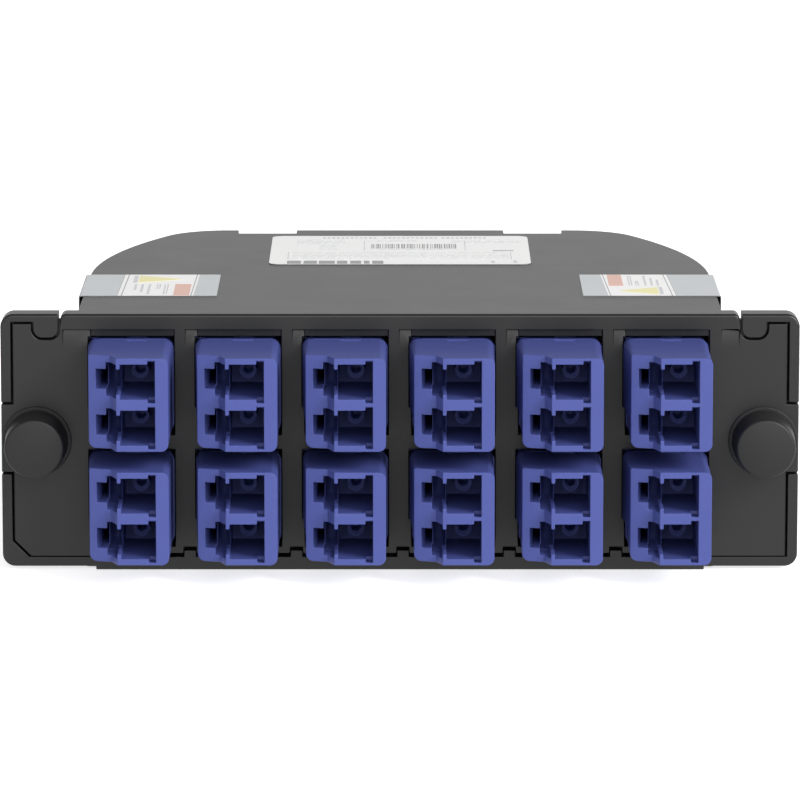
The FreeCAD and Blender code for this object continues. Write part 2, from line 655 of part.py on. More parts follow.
def make_base_housing():
    """Moulded tray with ear frames, front lip, adapter comb, spools, MPO posts and fan-out pedestals."""
    body = new_body("base_housing")
    tray = new_sketch(body, "tray_outline", "XY_Plane")
    footprint(tray, "0", PLATE_BACK)
    pad(body, tray, COVER_SEAT)
    round_edges(
        body,
        lambda edge: near(edge.BoundBox.ZMax, 0) and edge.BoundBox.YMax > value(PLATE_BACK) + 0.01,
        "Sizes.bottom_round",
    )
    hollow = new_sketch(body, "tray_hollow", "XY_Plane", COVER_SEAT)
    footprint(hollow, "Sizes.wall", PLATE_BACK)
    pocket(body, hollow, f"{COVER_SEAT} - Sizes.floor_thick")

    inside_wall = f"({BODY_HALF} - Sizes.wall)"
    for name, side in SIDES.items():
        frame = front_sketch(body, f"ear_frame_{name}")
        corners = (
            (f"{side} * {inside_wall}", "Sizes.ear_drop"),
            (f"{side} * {PANEL_HALF}", "Sizes.ear_drop", "Sizes.ear_round"),
            (f"{side} * {PANEL_HALF}", "Sizes.body_height", "Sizes.ear_round"),
            (f"{side} * {HOOK_INNER}", "Sizes.body_height"),
            (f"{side} * {HOOK_INNER}", COVER_SEAT),
            (f"{side} * {inside_wall}", COVER_SEAT),
        )
        outline(frame, corners)
        rear_pad(body, frame, "Sizes.ear_depth")
        recess = front_sketch(body, f"ear_recess_{name}", "-1")
        ear_face(recess, side, "0", f"{inside_wall} - 1", "Sizes.body_height + 1")
        pocket(body, recess, f"{PLATE_BACK} + 1")

    lip = front_sketch(body, "front_lip")
    rectangle(lip, "-Sizes.lip_width / 2", "0", "Sizes.lip_width / 2", "Sizes.lip_height")
    rear_pad(body, lip, f"{PLATE_BACK} + Sizes.wall")
    shoulders = front_sketch(body, "lip_shoulders")
    rectangle(shoulders, f"-{BODY_HALF}", "Sizes.ear_drop", BODY_HALF, "Sizes.lip_height")
    rear_pad(body, shoulders, f"{PLATE_BACK} + Sizes.wall")
    tabs = front_sketch(body, "lip_tabs")
    for gap in range(COLUMNS - 1):
        centre = f"{column_x(gap + 0.5)} + Sizes.tab_offset"
        rectangle(
            tabs,
            f"{centre} - Sizes.tab_width / 2",
            "Sizes.lip_height / 2",
            f"{centre} + Sizes.tab_width / 2",
            "Sizes.lip_height + Sizes.tab_rise",
        )
    rear_pad(body, tabs, "Sizes.plate_thick")

    comb = new_sketch(body, "adapter_comb", "XY_Plane", "Sizes.floor_thick / 2")
    comb_front = f"{COLLAR_BACK} + Sizes.assembly_gap"
    comb_back = f"{comb_front} + Sizes.comb_depth"
    clear_half = "(Sizes.adapter_width / 2 + Sizes.comb_gap)"
    for gap in range(COLUMNS - 1):
        rectangle(
            comb,
            f"{column_x(gap)} + {clear_half}",
            comb_front,
            f"{column_x(gap + 1)} - {clear_half}",
            comb_back,
        )
    outer_clear = f"({column_x(COLUMNS - 1)} + {clear_half})"
    for side in SIDES.values():
        ends = (f"{side} * {outer_clear}", f"{side} * ({BODY_HALF} - Sizes.wall / 2)")
        low, high = ends if side > 0 else ends[::-1]
        rectangle(comb, low, comb_front, high, comb_back)
    pad(body, comb, f"{COVER_SEAT} - Sizes.floor_thick / 2 - 3 * Sizes.assembly_gap")

    spools = new_sketch(body, "spools", "XY_Plane", "Sizes.floor_thick / 2")
    for side in SIDES.values():
        circle(spools, f"{side} * {SPOOL_X}", SPOOL_Y, "Sizes.spool_turn - Sizes.trunk_radius")
    pad(body, spools, "Sizes.spool_height - Sizes.floor_thick / 2")
    fingers = new_sketch(body, "spool_fingers", "XY_Plane", "Sizes.spool_height")
    for side in SIDES.values():
        centred_rectangle(
            fingers,
            f"{side} * {SPOOL_X}",
            SPOOL_Y,
            "2 * Sizes.wall",
            "2 * (Sizes.spool_turn + Sizes.trunk_radius)",
        )
    pad(body, fingers, "Sizes.wall", reverse=True)
    cores = new_sketch(body, "spool_cores", "XY_Plane", "Sizes.spool_height")
    for side in SIDES.values():
        core = "Sizes.spool_turn - Sizes.trunk_radius - Sizes.spool_wall"
        circle(cores, f"{side} * {SPOOL_X}", SPOOL_Y, core)
    pocket(body, cores, "Sizes.spool_height - Sizes.floor_thick")

    cradles = new_sketch(body, "fanout_cradles", "XY_Plane", "Sizes.floor_thick / 2")
    for side in SIDES.values():
        for hand in (-1, 1):
            centred_rectangle(
                cradles,
                f"{side} * {MPO_X} + {hand} * (Sizes.fanout_width - Sizes.wall) / 2",
                f"{FANOUT_REAR} - Sizes.fanout_length / 2",
                "Sizes.wall",
                "Sizes.fanout_length",
            )
    pad(body, cradles, "Sizes.fanout_height - Sizes.fanout_rise / 2 - Sizes.floor_thick / 2")

    posts = new_sketch(body, "mpo_posts", "XY_Plane", "Sizes.floor_thick / 2")
    post_back = f"{MPO_COLLAR_FRONT} - Sizes.assembly_gap"
    for side in SIDES.values():
        for hand in (-1, 1):
            near_edge = "Sizes.mpo_width / 2 + Sizes.comb_gap"
            far_edge = "Sizes.mpo_width / 2 + Sizes.mpo_collar"
            ends = [f"{side} * {MPO_X} + {hand} * ({edge})" for edge in (near_edge, far_edge)]
            low, high = ends if hand > 0 else ends[::-1]
            rectangle(posts, low, f"{post_back} - 2 * Sizes.wall", high, post_back)
    pad(body, posts, "Sizes.mpo_height + Sizes.mpo_rise / 2 - Sizes.floor_thick / 2")

    mpo_windows = front_sketch(body, "mpo_windows", WALL_INSIDE + " - Sizes.wall")
    for side in SIDES.values():
        centred_rectangle(
            mpo_windows,
            f"{side} * {MPO_X}",
            "Sizes.mpo_height",
            "Sizes.mpo_width + 2 * Sizes.assembly_gap",
            "Sizes.mpo_rise + 2 * Sizes.assembly_gap",
        )
    pocket(body, mpo_windows, "3 * Sizes.wall")

    catch_windows = new_sketch(body, "catch_windows", "YZ_Plane", f"-({BODY_HALF} + 1)")
    catch_low = f"{COVER_SEAT} - Sizes.catch_length - Sizes.assembly_gap"
    centred_rectangle(
        catch_windows,
        "Sizes.catch_place",
        f"{catch_low} + Sizes.catch_bite",
        "Sizes.catch_width + 4 * Sizes.assembly_gap",
        "2 * Sizes.catch_bite + 2 * Sizes.assembly_gap",
    )
    pocket(body, catch_windows, f"2 * {BODY_HALF} + 2", reverse=True)

    holes = front_sketch(body, "ear_grommet_holes")
    for side in SIDES.values():
        circle(holes, f"{side} * {KNOB_X}", "Sizes.knob_height", "Sizes.shank_radius + Sizes.shank_room")
    pocket(body, holes, "Sizes.ear_depth")
    return body


def make_top_cover():
    """Flat cover: tongue inside the walls, two snap catches, two notches in its rear edge."""
    body = new_body("top_cover")
    plate = new_sketch(body, "cover_outline", "XY_Plane", COVER_SEAT)
    footprint(plate, "0", "Sizes.ear_depth + Sizes.assembly_gap")
    pad(body, plate, "Sizes.cover_thick")

    tongue = new_sketch(body, "cover_tongue", "XY_Plane", COVER_SEAT)
    tongue_inset = "(Sizes.wall + Sizes.assembly_gap)"
    tongue_front = f"{COLLAR_BACK} + Sizes.assembly_gap + Sizes.comb_depth + Sizes.seam"
    footprint(tongue, tongue_inset, tongue_front)
    pad(body, tongue, "Sizes.tongue_depth", reverse=True)
    clearing = new_sketch(body, "cover_clearing", "XY_Plane", f"{COVER_SEAT} - Sizes.tongue_depth")
    footprint(clearing, f"({tongue_inset} + Sizes.wall)", f"{tongue_front} + Sizes.wall")
    pocket(body, clearing, "Sizes.tongue_depth", reverse=True)

    apron = front_sketch(body, "cover_front_tongue", PLATE_BACK)
    rectangle(
        apron,
        f"-{BODY_HALF} + Sizes.seam",
        COVER_SEAT,
        f"{BODY_HALF} - Sizes.seam",
        f"{FLANGE_UNDER} - Sizes.assembly_gap",
    )
    rear_pad(body, apron, "2 * Sizes.plate_thick")

    for name, side in SIDES.items():
        arm = new_sketch(body, f"catch_arm_{name}", "XY_Plane", COVER_SEAT)
        outer = f"({BODY_HALF} - {tongue_inset})"
        ends = [f"{side} * ({edge})" for edge in (f"{outer} - Sizes.catch_thick", outer)]
        low, high = ends if side > 0 else ends[::-1]
        rectangle(
            arm,
            low,
            "Sizes.catch_place - Sizes.catch_width / 2",
            high,
            "Sizes.catch_place + Sizes.catch_width / 2",
        )
        pad(body, arm, "Sizes.catch_length", reverse=True)
        nose = front_sketch(body, f"catch_nose_{name}", "Sizes.catch_place - Sizes.catch_width / 2")
        nose_low = f"{COVER_SEAT} - Sizes.catch_length"
        corners = [
            (f"{side} * ({outer} - Sizes.catch_thick / 2)", nose_low),
            (f"{side} * {outer}", nose_low),
            (f"{side} * ({outer} + Sizes.catch_bite)", f"{nose_low} + 2 * Sizes.catch_bite"),
            (f"{side} * ({outer} - Sizes.catch_thick / 2)", f"{nose_low} + 2 * Sizes.catch_bite"),
        ]
        outline(nose, corners)
        rear_pad(body, nose, "Sizes.catch_width")

    notches = new_sketch(body, "cover_notches", "XY_Plane", COVER_TOP)
    for side in SIDES.values():
        rectangle(
            notches,
            f"{side} * {MPO_X} - Sizes.notch_width / 2",
            "Sizes.body_depth - Sizes.notch_depth",
            f"{side} * {MPO_X} + Sizes.notch_width / 2",
            "Sizes.body_depth + 1",
        )
    pocket(body, notches, "Sizes.cover_thick + Sizes.tongue_depth")
    return body


# ---------------------------------------------------------------- LC adapters and what they hold

# Stations across the adapter, from its latch side, in the adapter's own frame
PORT_RIGHT = "(Sizes.port_offset + Sizes.port_width / 2)"
PORT_LEFT = "(Sizes.port_offset - Sizes.port_width / 2)"
NIB_LEFT = f"({PORT_LEFT} - Sizes.nib_width)"
CHANNEL_LEFT = f"({NIB_LEFT} - Sizes.channel_width)"
SLOT_LEFT = f"({CHANNEL_LEFT} - Sizes.slot_width)"
WALL_FRONT = f"({FERRULE_MEET} - Sizes.port_floor / 2)"
WALL_REAR = f"({FERRULE_MEET} + Sizes.port_floor / 2)"


def between(sketch, low, high, axis, height):
    """Rectangle from one station across the adapter to another, centred on a port's axis."""
    rectangle(sketch, low, f"{axis} - {height} / 2", high, f"{axis} + {height} / 2")


def rear_port_profile(sketch, axis):
    """Port that opens into the latch channel between the nibs."""
    overlap_left = f"({NIB_LEFT} - Sizes.channel_width / 2)"
    corners = []
    for sign in (-1, 1):
        levels = [f"{axis} + {sign} * {half} / 2" for half in ("Sizes.nib_opening", "Sizes.port_height")]
        lower = [
            (overlap_left, levels[0]),
            (PORT_LEFT, levels[0]),
            (PORT_LEFT, levels[1]),
            (PORT_RIGHT, levels[1]),
        ]
        corners += lower if sign < 0 else lower[::-1]
    outline(sketch, corners)


def cut_front_ports(body, axes):
    """Cut the front ports with their corner reliefs, the mouths between the nibs and the wide channels."""
    depth = f"{WALL_FRONT} - {ADAPTER_FRONT}"
    relief_left = f"({PORT_RIGHT} - Sizes.relief_width)"
    relief_height = "(Sizes.port_height + 2 * Sizes.relief_rise)"
    mouth_left = f"({NIB_LEFT} - Sizes.channel_width / 2)"
    cuts = (
        ("ports", PORT_LEFT, PORT_RIGHT, "Sizes.port_height", depth),
        ("reliefs", relief_left, PORT_RIGHT, relief_height, "Sizes.relief_depth"),
        ("channels", CHANNEL_LEFT, NIB_LEFT, "Sizes.channel_height", "Sizes.catch_wall"),
        ("mouths", mouth_left, f"({PORT_LEFT} + Sizes.nib_width)", "Sizes.nib_opening", "Sizes.catch_wall"),
    )
    for name, low, high, height, length in cuts:
        sketch = front_sketch(body, f"adapter_front_{name}", ADAPTER_FRONT)
        for axis in axes:
            between(sketch, low, high, axis, height)
        pocket(body, sketch, length)


def cut_rear_ports(body, axes):
    """Cut the rear ports and the wide channels beside them, which start behind the middle wall."""
    ports = front_sketch(body, "adapter_rear_ports", WALL_REAR)
    channels = front_sketch(body, "adapter_rear_channels", f"{WALL_REAR} + Sizes.step_back")
    for axis in axes:
        rear_port_profile(ports, axis)
        between(channels, CHANNEL_LEFT, NIB_LEFT, axis, "Sizes.channel_height")
    pocket(body, ports, f"{ADAPTER_REAR} - {WALL_REAR}")
    pocket(body, channels, f"{ADAPTER_REAR} - {WALL_REAR} - Sizes.step_back")


def cut_latch_slots(body, axes):
    """Cut the narrow slots right through, with a far side that closes in over the wide channel's depth."""
    inner_left = f"({SLOT_LEFT} + Sizes.slot_taper)"
    slots = front_sketch(body, "adapter_slots", ADAPTER_FRONT)
    for number, axis in enumerate(axes):
        between(slots, inner_left, f"({CHANNEL_LEFT} + Sizes.assembly_gap)", axis, "Sizes.slot_height")
        lead = new_sketch(body, f"adapter_slot_lead_{number}", "XY_Plane", f"{axis} + Sizes.slot_height / 2")
        lead_corners = (
            (SLOT_LEFT, f"{ADAPTER_FRONT} + Sizes.step_back / 2"),
            (CHANNEL_LEFT, f"{ADAPTER_FRONT} + Sizes.step_back / 2"),
            (CHANNEL_LEFT, f"{ADAPTER_FRONT} + Sizes.catch_wall"),
            (inner_left, f"{ADAPTER_FRONT} + Sizes.catch_wall"),
            (SLOT_LEFT, f"{ADAPTER_FRONT} + Sizes.step_back"),
        )
        outline(lead, lead_corners)
        pocket(body, lead, "Sizes.slot_height")
    pocket(body, slots, "Sizes.adapter_length")


def add_latch_flank(body):
    """Flank on the latch side that widens from behind the set-back face to the collar."""
    half_width, half_height = "Sizes.adapter_width / 2", "Sizes.adapter_height / 2"
    widest = f"(-{half_width} - Sizes.flank_rise)"
    start = f"({ADAPTER_FRONT} + Sizes.step_back)"
    flank = front_sketch(body, "adapter_flank", start)
    corners = (
        (widest, "-Sizes.flank_below"),
        (f"-{half_width} + Sizes.wall", "-Sizes.flank_below"),
        (f"-{half_width} + Sizes.wall", half_height),
        (widest, half_height, "Sizes.adapter_round"),
    )
    outline(flank, corners)
    rear_pad(body, flank, f"{PLATE_BACK} - {start}")
    slope = new_sketch(body, "adapter_flank_slope", "XY_Plane", "Sizes.adapter_height")
    slope_corners = (
        (f"{widest} - 1", f"{start} - 1"),
        (f"-{half_width}", f"{start} - 1"),
        (f"-{half_width}", start),
        (widest, "0"),
        (f"{widest} - 1", "0"),
    )
    outline(slope, slope_corners)
    pocket(body, slope, "2 * Sizes.adapter_height")


def make_lc_adapter_pattern():
    """LC duplex adapter about its own middle: ports front and rear, latch channels, sleeve holders.

    Each alignment sleeve is one with its holder and with the ferrule behind it, whose face ends the bore.
    """
    body = pattern_body("lc_adapter_pattern")
    half_width, half_height = "Sizes.adapter_width / 2", "Sizes.adapter_height / 2"
    block = front_sketch(body, "adapter_block", ADAPTER_FRONT)
    corners = [
        (f"{x} * {half_width}", f"{z} * {half_height}", "Sizes.adapter_round")
        for x, z in ((-1, -1), (1, -1), (1, 1), (-1, 1))
    ]
    outline(block, corners)
    rear_pad(body, block, "Sizes.adapter_length")
    collar = front_sketch(body, "adapter_collar", PLATE_BACK)
    centred_rectangle(
        collar,
        "0",
        "0",
        "Sizes.adapter_width + 2 * Sizes.collar_rise",
        "Sizes.adapter_height - 2 * Sizes.adapter_round",
    )
    rear_pad(body, collar, "Sizes.collar_depth")

    step = new_sketch(body, "adapter_step", "XY_Plane", "Sizes.adapter_height")
    step_corners = (
        (f"-{half_width} - 1", f"{ADAPTER_FRONT} - 1"),
        (NIB_LEFT, f"{ADAPTER_FRONT} - 1"),
        (NIB_LEFT, ADAPTER_FRONT),
        (f"{NIB_LEFT} - Sizes.step_ramp", f"{ADAPTER_FRONT} + Sizes.step_back"),
        (f"-{half_width} - 1", f"{ADAPTER_FRONT} + Sizes.step_back"),
    )
    outline(step, step_corners)
    pocket(body, step, "2 * Sizes.adapter_height")

    add_latch_flank(body)

    axes = [f"({port} * Sizes.port_pitch / 2)" for port in PORTS]
    cut_front_ports(body, axes)
    cut_rear_ports(body, axes)
    cut_latch_slots(body, axes)

    holder_front = f"{WALL_FRONT} - Sizes.holder_reach"
    holders = front_sketch(body, "sleeve_holders", holder_front)
    sleeves = front_sketch(body, "sleeve_bores", holder_front)
    for axis in axes:
        circle(holders, "Sizes.port_offset", axis, "Sizes.holder_radius")
        circle(sleeves, "Sizes.port_offset", axis, "Sizes.sleeve_radius")
    rear_pad(body, holders, "Sizes.holder_reach + Sizes.port_floor / 2")
    pocket(body, sleeves, f"{FERRULE_MEET} - ({holder_front})")

    grips = front_sketch(body, "adapter_grips", "-Sizes.recess_depth")
    for level in (-1, 1):
        centred_rectangle(
            grips,
            "Sizes.port_offset / 2",
            f"{level} * {half_height}",
            "Sizes.grip_width",
            "2 * Sizes.grip_depth",
        )
    pocket(body, grips, f"Sizes.recess_depth + {COLLAR_BACK}")
    return body


def make_lc_adapters(pattern):
    """The twelve adapters, each a link to the pattern in its own window."""
    nodes = []
    for row, row_name in enumerate(("lower", "upper")):
        for column in range(COLUMNS):
            node = doc.addObject("App::Link", f"lc_adapter_{row_name}_{column + 1}")
            node.Label = f"lc_adapter_{row_name}_{column + 1}"
            node.LinkedObject = pattern
            node.setExpression("Placement.Base.x", column_x(column))
            node.setExpression("Placement.Base.y", ORIGIN_SHIFT)
            node.setExpression("Placement.Base.z", row_z(row))
            nodes.append(node)
    return nodes


PLUG_FRONT = f"({WALL_REAR} + Sizes.plug_gap)"
PLUG_REAR = f"({ADAPTER_REAR} + Sizes.plug_tail)"


def make_lc_plugs():
    """LC plugs in the rear ports: housing, latch lever and tapered boot."""
    body = pattern_body("lc_plug_pattern")
    block = front_sketch(body, "plug_block", PLUG_FRONT)
    centred_rectangle(block, "0", "0", "Sizes.plug_side", "Sizes.plug_side")
    rear_pad(body, block, f"{PLUG_REAR} - {PLUG_FRONT}")
    lever = new_sketch(body, "latch_lever", "XY_Plane", "-Sizes.latch_width / 2")
    side = "Sizes.plug_side / 2"
    wide_side = f"({CHANNEL_LEFT} - Sizes.port_offset + Sizes.assembly_gap)"
    slot_side = f"({SLOT_LEFT} - Sizes.port_offset + 2 * Sizes.assembly_gap)"
    lever_corners = (
        (f"-{side} + Sizes.assembly_gap", f"{PLUG_FRONT} + 3"),
        (f"-{side} - Sizes.latch_thick", f"{PLUG_FRONT} + 3"),
        (wide_side, f"{ADAPTER_REAR} - 2"),
        (slot_side, f"{PLUG_REAR} - 1.5"),
        (f"{slot_side} + Sizes.latch_thick", f"{PLUG_REAR} - 1"),
        (f"{wide_side} + Sizes.latch_thick", f"{ADAPTER_REAR} - 2"),
        (f"-{side} + Sizes.assembly_gap", f"{PLUG_FRONT} + 4.5"),
    )
    outline(lever, lever_corners)
    pad(body, lever, "Sizes.latch_width")

    root = front_sketch(body, "boot_root", PLUG_REAR)
    centred_rectangle(root, "0", "0", "Sizes.boot_side", "Sizes.boot_side")
    tip = front_sketch(body, "boot_tip", f"{PLUG_REAR} + Sizes.boot_length")
    centred_rectangle(tip, "0", "0", "3 * Sizes.fibre_radius", "3 * Sizes.fibre_radius")
    boot = body.newObject("PartDesign::AdditiveLoft", "plug_boot")
    boot.Profile = root
    boot.Sections = [tip]
    boot.Ruled = True
    doc.recompute()
    return group_copies("lc_plugs", body, [Vector(x, 0, z) for x, z in port_axes()])


# ---------------------------------------------------------------- MPO adapters, plugs and the harness


def make_mpo_adapter(name, side):
    """MPO adapter through the rear wall: collar inside, barbs outside, partition with the ferrule window."""
    body = new_body(f"mpo_adapter_{name}")
    x = f"{side} * {MPO_X}"
    block = front_sketch(body, f"mpo_block_{name}", MPO_FRONT, x, "Sizes.mpo_height")
    centred_rectangle(block, "0", "0", "Sizes.mpo_width", "Sizes.mpo_rise")
    rear_pad(body, block, f"{MPO_REAR} - {MPO_FRONT}")
    collar = front_sketch(body, f"mpo_collar_{name}", MPO_COLLAR_FRONT, x, "Sizes.mpo_height")
    grown = "2 * Sizes.mpo_collar"
    centred_rectangle(collar, "0", "0", f"Sizes.mpo_width + {grown}", f"Sizes.mpo_rise + {grown}")
    rear_pad(body, collar, "Sizes.mpo_collar_depth")
    barbs = new_sketch(body, f"mpo_barbs_{name}", "XY_Plane", "Sizes.mpo_height - Sizes.mpo_rise / 4", x)
    barb_front = "Sizes.body_depth + Sizes.assembly_gap"
    for hand in (-1, 1):
        barb_corners = (
            (f"{hand} * (Sizes.mpo_width / 2 - 0.3)", barb_front),
            (f"{hand} * (Sizes.mpo_width / 2 + 0.6)", barb_front),
            (f"{hand} * (Sizes.mpo_width / 2 - 0.3)", f"{barb_front} + 3"),
        )
        outline(barbs, barb_corners)
    pad(body, barbs, "Sizes.mpo_rise / 2")
    half_depth = f"({MPO_REAR} - {MPO_FRONT} - Sizes.mpo_web) / 2"
    for end, start in (("inner", MPO_FRONT), ("outer", f"{MPO_MIDDLE} + Sizes.mpo_web / 2")):
        port = front_sketch(body, f"mpo_port_{end}_{name}", start, x, "Sizes.mpo_height")
        half_port, half_key = "Sizes.mpo_port_width / 2", "Sizes.mpo_key_width / 2"
        top = "Sizes.mpo_port_height / 2"
        port_corners = (
            (f"-{half_port}", f"-{top}"),
            (half_port, f"-{top}"),
            (half_port, top),
            (half_key, top),
            (half_key, f"{top} + Sizes.mpo_key_rise"),
            (f"-{half_key}", f"{top} + Sizes.mpo_key_rise"),
            (f"-{half_key}", top),
            (f"-{half_port}", top),
        )
        outline(port, port_corners)
        pocket(body, port, half_depth)
    window = front_sketch(body, f"mpo_window_{name}", MPO_FRONT, x, "Sizes.mpo_height")
    fit = "2 * Sizes.mt_fit"
    centred_rectangle(window, "0", "0", f"Sizes.mt_width + {fit}", f"Sizes.mt_height + {fit}")
    pocket(body, window, f"{MPO_REAR} - {MPO_FRONT}")
    return body


MPO_PLUG_FRONT = f"({MPO_MIDDLE} - Sizes.mpo_web / 2 - Sizes.mt_fit)"
MPO_GRIP_END = f"({MPO_FRONT} - Sizes.mpo_grip)"
MPO_BOOT_END = f"({MPO_GRIP_END} - Sizes.mpo_boot)"


def make_mpo_plug(name, side):
    """MPO plug on the inner side: nose in the adapter, grip, tapered boot, and the hole for its ferrule."""
    body = new_body(f"mpo_plug_{name}")
    x = f"{side} * {MPO_X}"
    fit = "2 * Sizes.mpo_fit"
    nose = front_sketch(body, f"mpo_nose_{name}", MPO_GRIP_END, x, "Sizes.mpo_height")
    centred_rectangle(nose, "0", "0", f"Sizes.mpo_port_width - {fit}", f"Sizes.mpo_port_height - {fit}")
    rear_pad(body, nose, f"{MPO_PLUG_FRONT} - {MPO_GRIP_END}")
    grip = front_sketch(body, f"mpo_grip_{name}", MPO_GRIP_END, x, "Sizes.mpo_height")
    grip_corners = [
        (f"{across} * Sizes.mpo_width / 2", f"{up} * Sizes.mpo_rise / 2", "Sizes.adapter_round")
        for across, up in ((-1, -1), (1, -1), (1, 1), (-1, 1))
    ]
    outline(grip, grip_corners)
    rear_pad(body, grip, "Sizes.mpo_grip - Sizes.seam")
    boot = new_sketch(body, f"mpo_boot_{name}", "XY_Plane", "Sizes.mpo_height", x)
    boot_corners = (
        ("0", f"{MPO_GRIP_END} + 1"),
        ("2.4 * Sizes.trunk_radius", f"{MPO_GRIP_END} + 1"),
        ("2.4 * Sizes.trunk_radius", MPO_GRIP_END),
        ("1.4 * Sizes.trunk_radius", MPO_BOOT_END),
        ("0", MPO_BOOT_END),
    )
    outline(boot, boot_corners)
    turn(body, boot)
    hole = front_sketch(body, f"mt_hole_{name}", f"{MPO_PLUG_FRONT} + 1", x, "Sizes.mpo_height")
    centred_rectangle(hole, "0", "0", "Sizes.mt_width", "Sizes.mt_height")
    pocket(body, hole, "Sizes.mt_length / 2 + 1", reverse=True)
    return body


def make_mt_ferrule(name, side):
    """MT ferrule with its two guide pins, held in the plug and through the adapter's window."""
    body = new_body(f"mt_ferrule_{name}")
    x = f"{side} * {MPO_X}"
    start = f"{MPO_PLUG_FRONT} - Sizes.mt_length / 2"
    block = front_sketch(body, f"mt_block_{name}", start, x, "Sizes.mpo_height")
    centred_rectangle(block, "0", "0", "Sizes.mt_width", "Sizes.mt_height")
    rear_pad(body, block, "Sizes.mt_length / 2 + 1")
    pins = front_sketch(body, f"mt_pins_{name}", start, x, "Sizes.mpo_height")
    for hand in (-1, 1):
        circle(pins, f"{hand} * Sizes.mt_pin_pitch / 2", "0", "Sizes.mt_pin_radius")
    rear_pad(body, pins, "Sizes.mt_length / 2 + 3")
    return body


def make_fanout_block(name, side):
    """Fan-out block on its pedestal: the trunk goes in behind, twelve fibres leave in front."""
    body = new_body(f"fanout_block_{name}")
    block = front_sketch(body, f"fanout_{name}", FANOUT_FRONT, f"{side} * {MPO_X}", "Sizes.fanout_height")
    half_width, half_rise = "Sizes.fanout_width / 2", "Sizes.fanout_rise / 2"
    corners = [
        (f"{across} * {half_width}", f"{up} * {half_rise}", "Sizes.adapter_round")
        for across, up in ((-1, -1), (1, -1), (1, 1), (-1, 1))
    ]
    outline(block, corners)
    rear_pad(body, block, "Sizes.fanout_length")
    return body


def rounded_route(points, fill):
    """Wire of straight runs joined by tangent arcs; an arc takes up the share fill of its shorter run."""
    edges = []
    cursor = points[0]
    for before, corner, after in zip(points, points[1:], points[2:]):
        back = before - corner
        ahead = after - corner
        turn_angle = math.pi - back.getAngle(ahead)
        reach = fill * min(back.Length, ahead.Length)
        radius = reach / math.tan(turn_angle / 2)
        entry = corner + back.normalize() * reach
        leave = corner + ahead.normalize() * reach
        inward = (entry + leave - corner * 2).normalize()
        middle = corner + inward * (radius / math.cos(turn_angle / 2) - radius)
        edges.append(Part.LineSegment(cursor, entry).toShape())
        edges.append(Part.Arc(entry, middle, leave).toShape())
        cursor = leave
    edges.append(Part.LineSegment(cursor, points[-1]).toShape())
    return Part.Wire(edges)


def plain_cord(points, radius, fill, flats):
    """Solid cord of a many-sided section along a rounded route that starts along y.

    The volume is held against section times length.
    """
    wire = rounded_route(points, fill)
    ring = []
    for flat in range(flats + 1):
        angle = 2 * math.pi * (flat + 0.5) / flats
        ring.append(points[0] + Vector(math.cos(angle), 0, math.sin(angle)) * radius)
    solid = wire.makePipeShell([Part.makePolygon(ring)], True, False)
    section = flats / 2 * radius**2 * math.sin(2 * math.pi / flats)
    expected = section * wire.Length
    if not solid.isValid() or abs(solid.Volume - expected) > 0.02 * expected:
        raise RuntimeError(f"cord volume {solid.Volume:.2f} is not {expected:.2f}")
    return solid


def cord_node(label, cords):
    """Node that holds cords made in the panel's frame."""
    node = doc.addObject("Part::Feature", label)
    node.Label = label
    node.Shape = Part.makeCompound(cords)
    node.Placement = Placement(Vector(0, value(ORIGIN_SHIFT), 0), Rotation())
    return node


def make_trunk(name, side):
    """Trunk unit: out of the MPO boot, once round the spool while it sinks, into the fan-out block."""
    x = side * value(MPO_X)
    spool = Vector(side * value(SPOOL_X), value(SPOOL_Y), 0)
    top = value("Sizes.mpo_height")
    drop = top - value("Sizes.fanout_height")
    turns = 8
    distance = value("Sizes.spool_turn") / math.cos(math.pi / turns)
    points = [Vector(x, value(MPO_BOOT_END), top)]
    for index in range(turns):
        angle = math.pi + 2 * math.pi * (index + 0.5) / turns
        around = Vector(side * math.cos(angle), math.sin(angle), 0) * distance
        points.append(spool + around + Vector(0, 0, top - drop * index / (turns - 1)))
    points.append(Vector(x, value(FANOUT_REAR), top - drop))
    return cord_node(f"trunk_unit_{name}", [plain_cord(points, value("Sizes.trunk_radius"), 0.45, 8)])


def make_fibres(name, side):
    """Twelve buffered fibres from a fan-out block to the boots of three adapter columns."""
    axes = [axis for axis in port_axes() if axis[0] * side > 0]
    columns = sorted({x for x, _ in axes})
    levels = sorted({z for _, z in axes})
    start_y = value(FANOUT_FRONT)
    end_y = value(f"{PLUG_REAR} + Sizes.boot_length")
    run = value("Sizes.fan_run")
    cords = []
    for i, x in enumerate(columns):
        for j, z in enumerate(levels):
            leave_x = side * value(MPO_X) + (i - 1) * value("Sizes.fanout_pitch_x")
            leave_z = value("Sizes.fanout_height") + (j - 1.5) * value("Sizes.fanout_pitch_z")
            points = [
                Vector(leave_x, start_y, leave_z),
                Vector(leave_x, start_y - run, leave_z),
                Vector(x, end_y + run, z),
                Vector(x, end_y, z),
            ]
            cords.append(plain_cord(points, value("Sizes.fibre_radius"), 0.95, 6))
    return cord_node(f"fibres_{name}", cords)


# ---------------------------------------------------------------- plungers and grommets


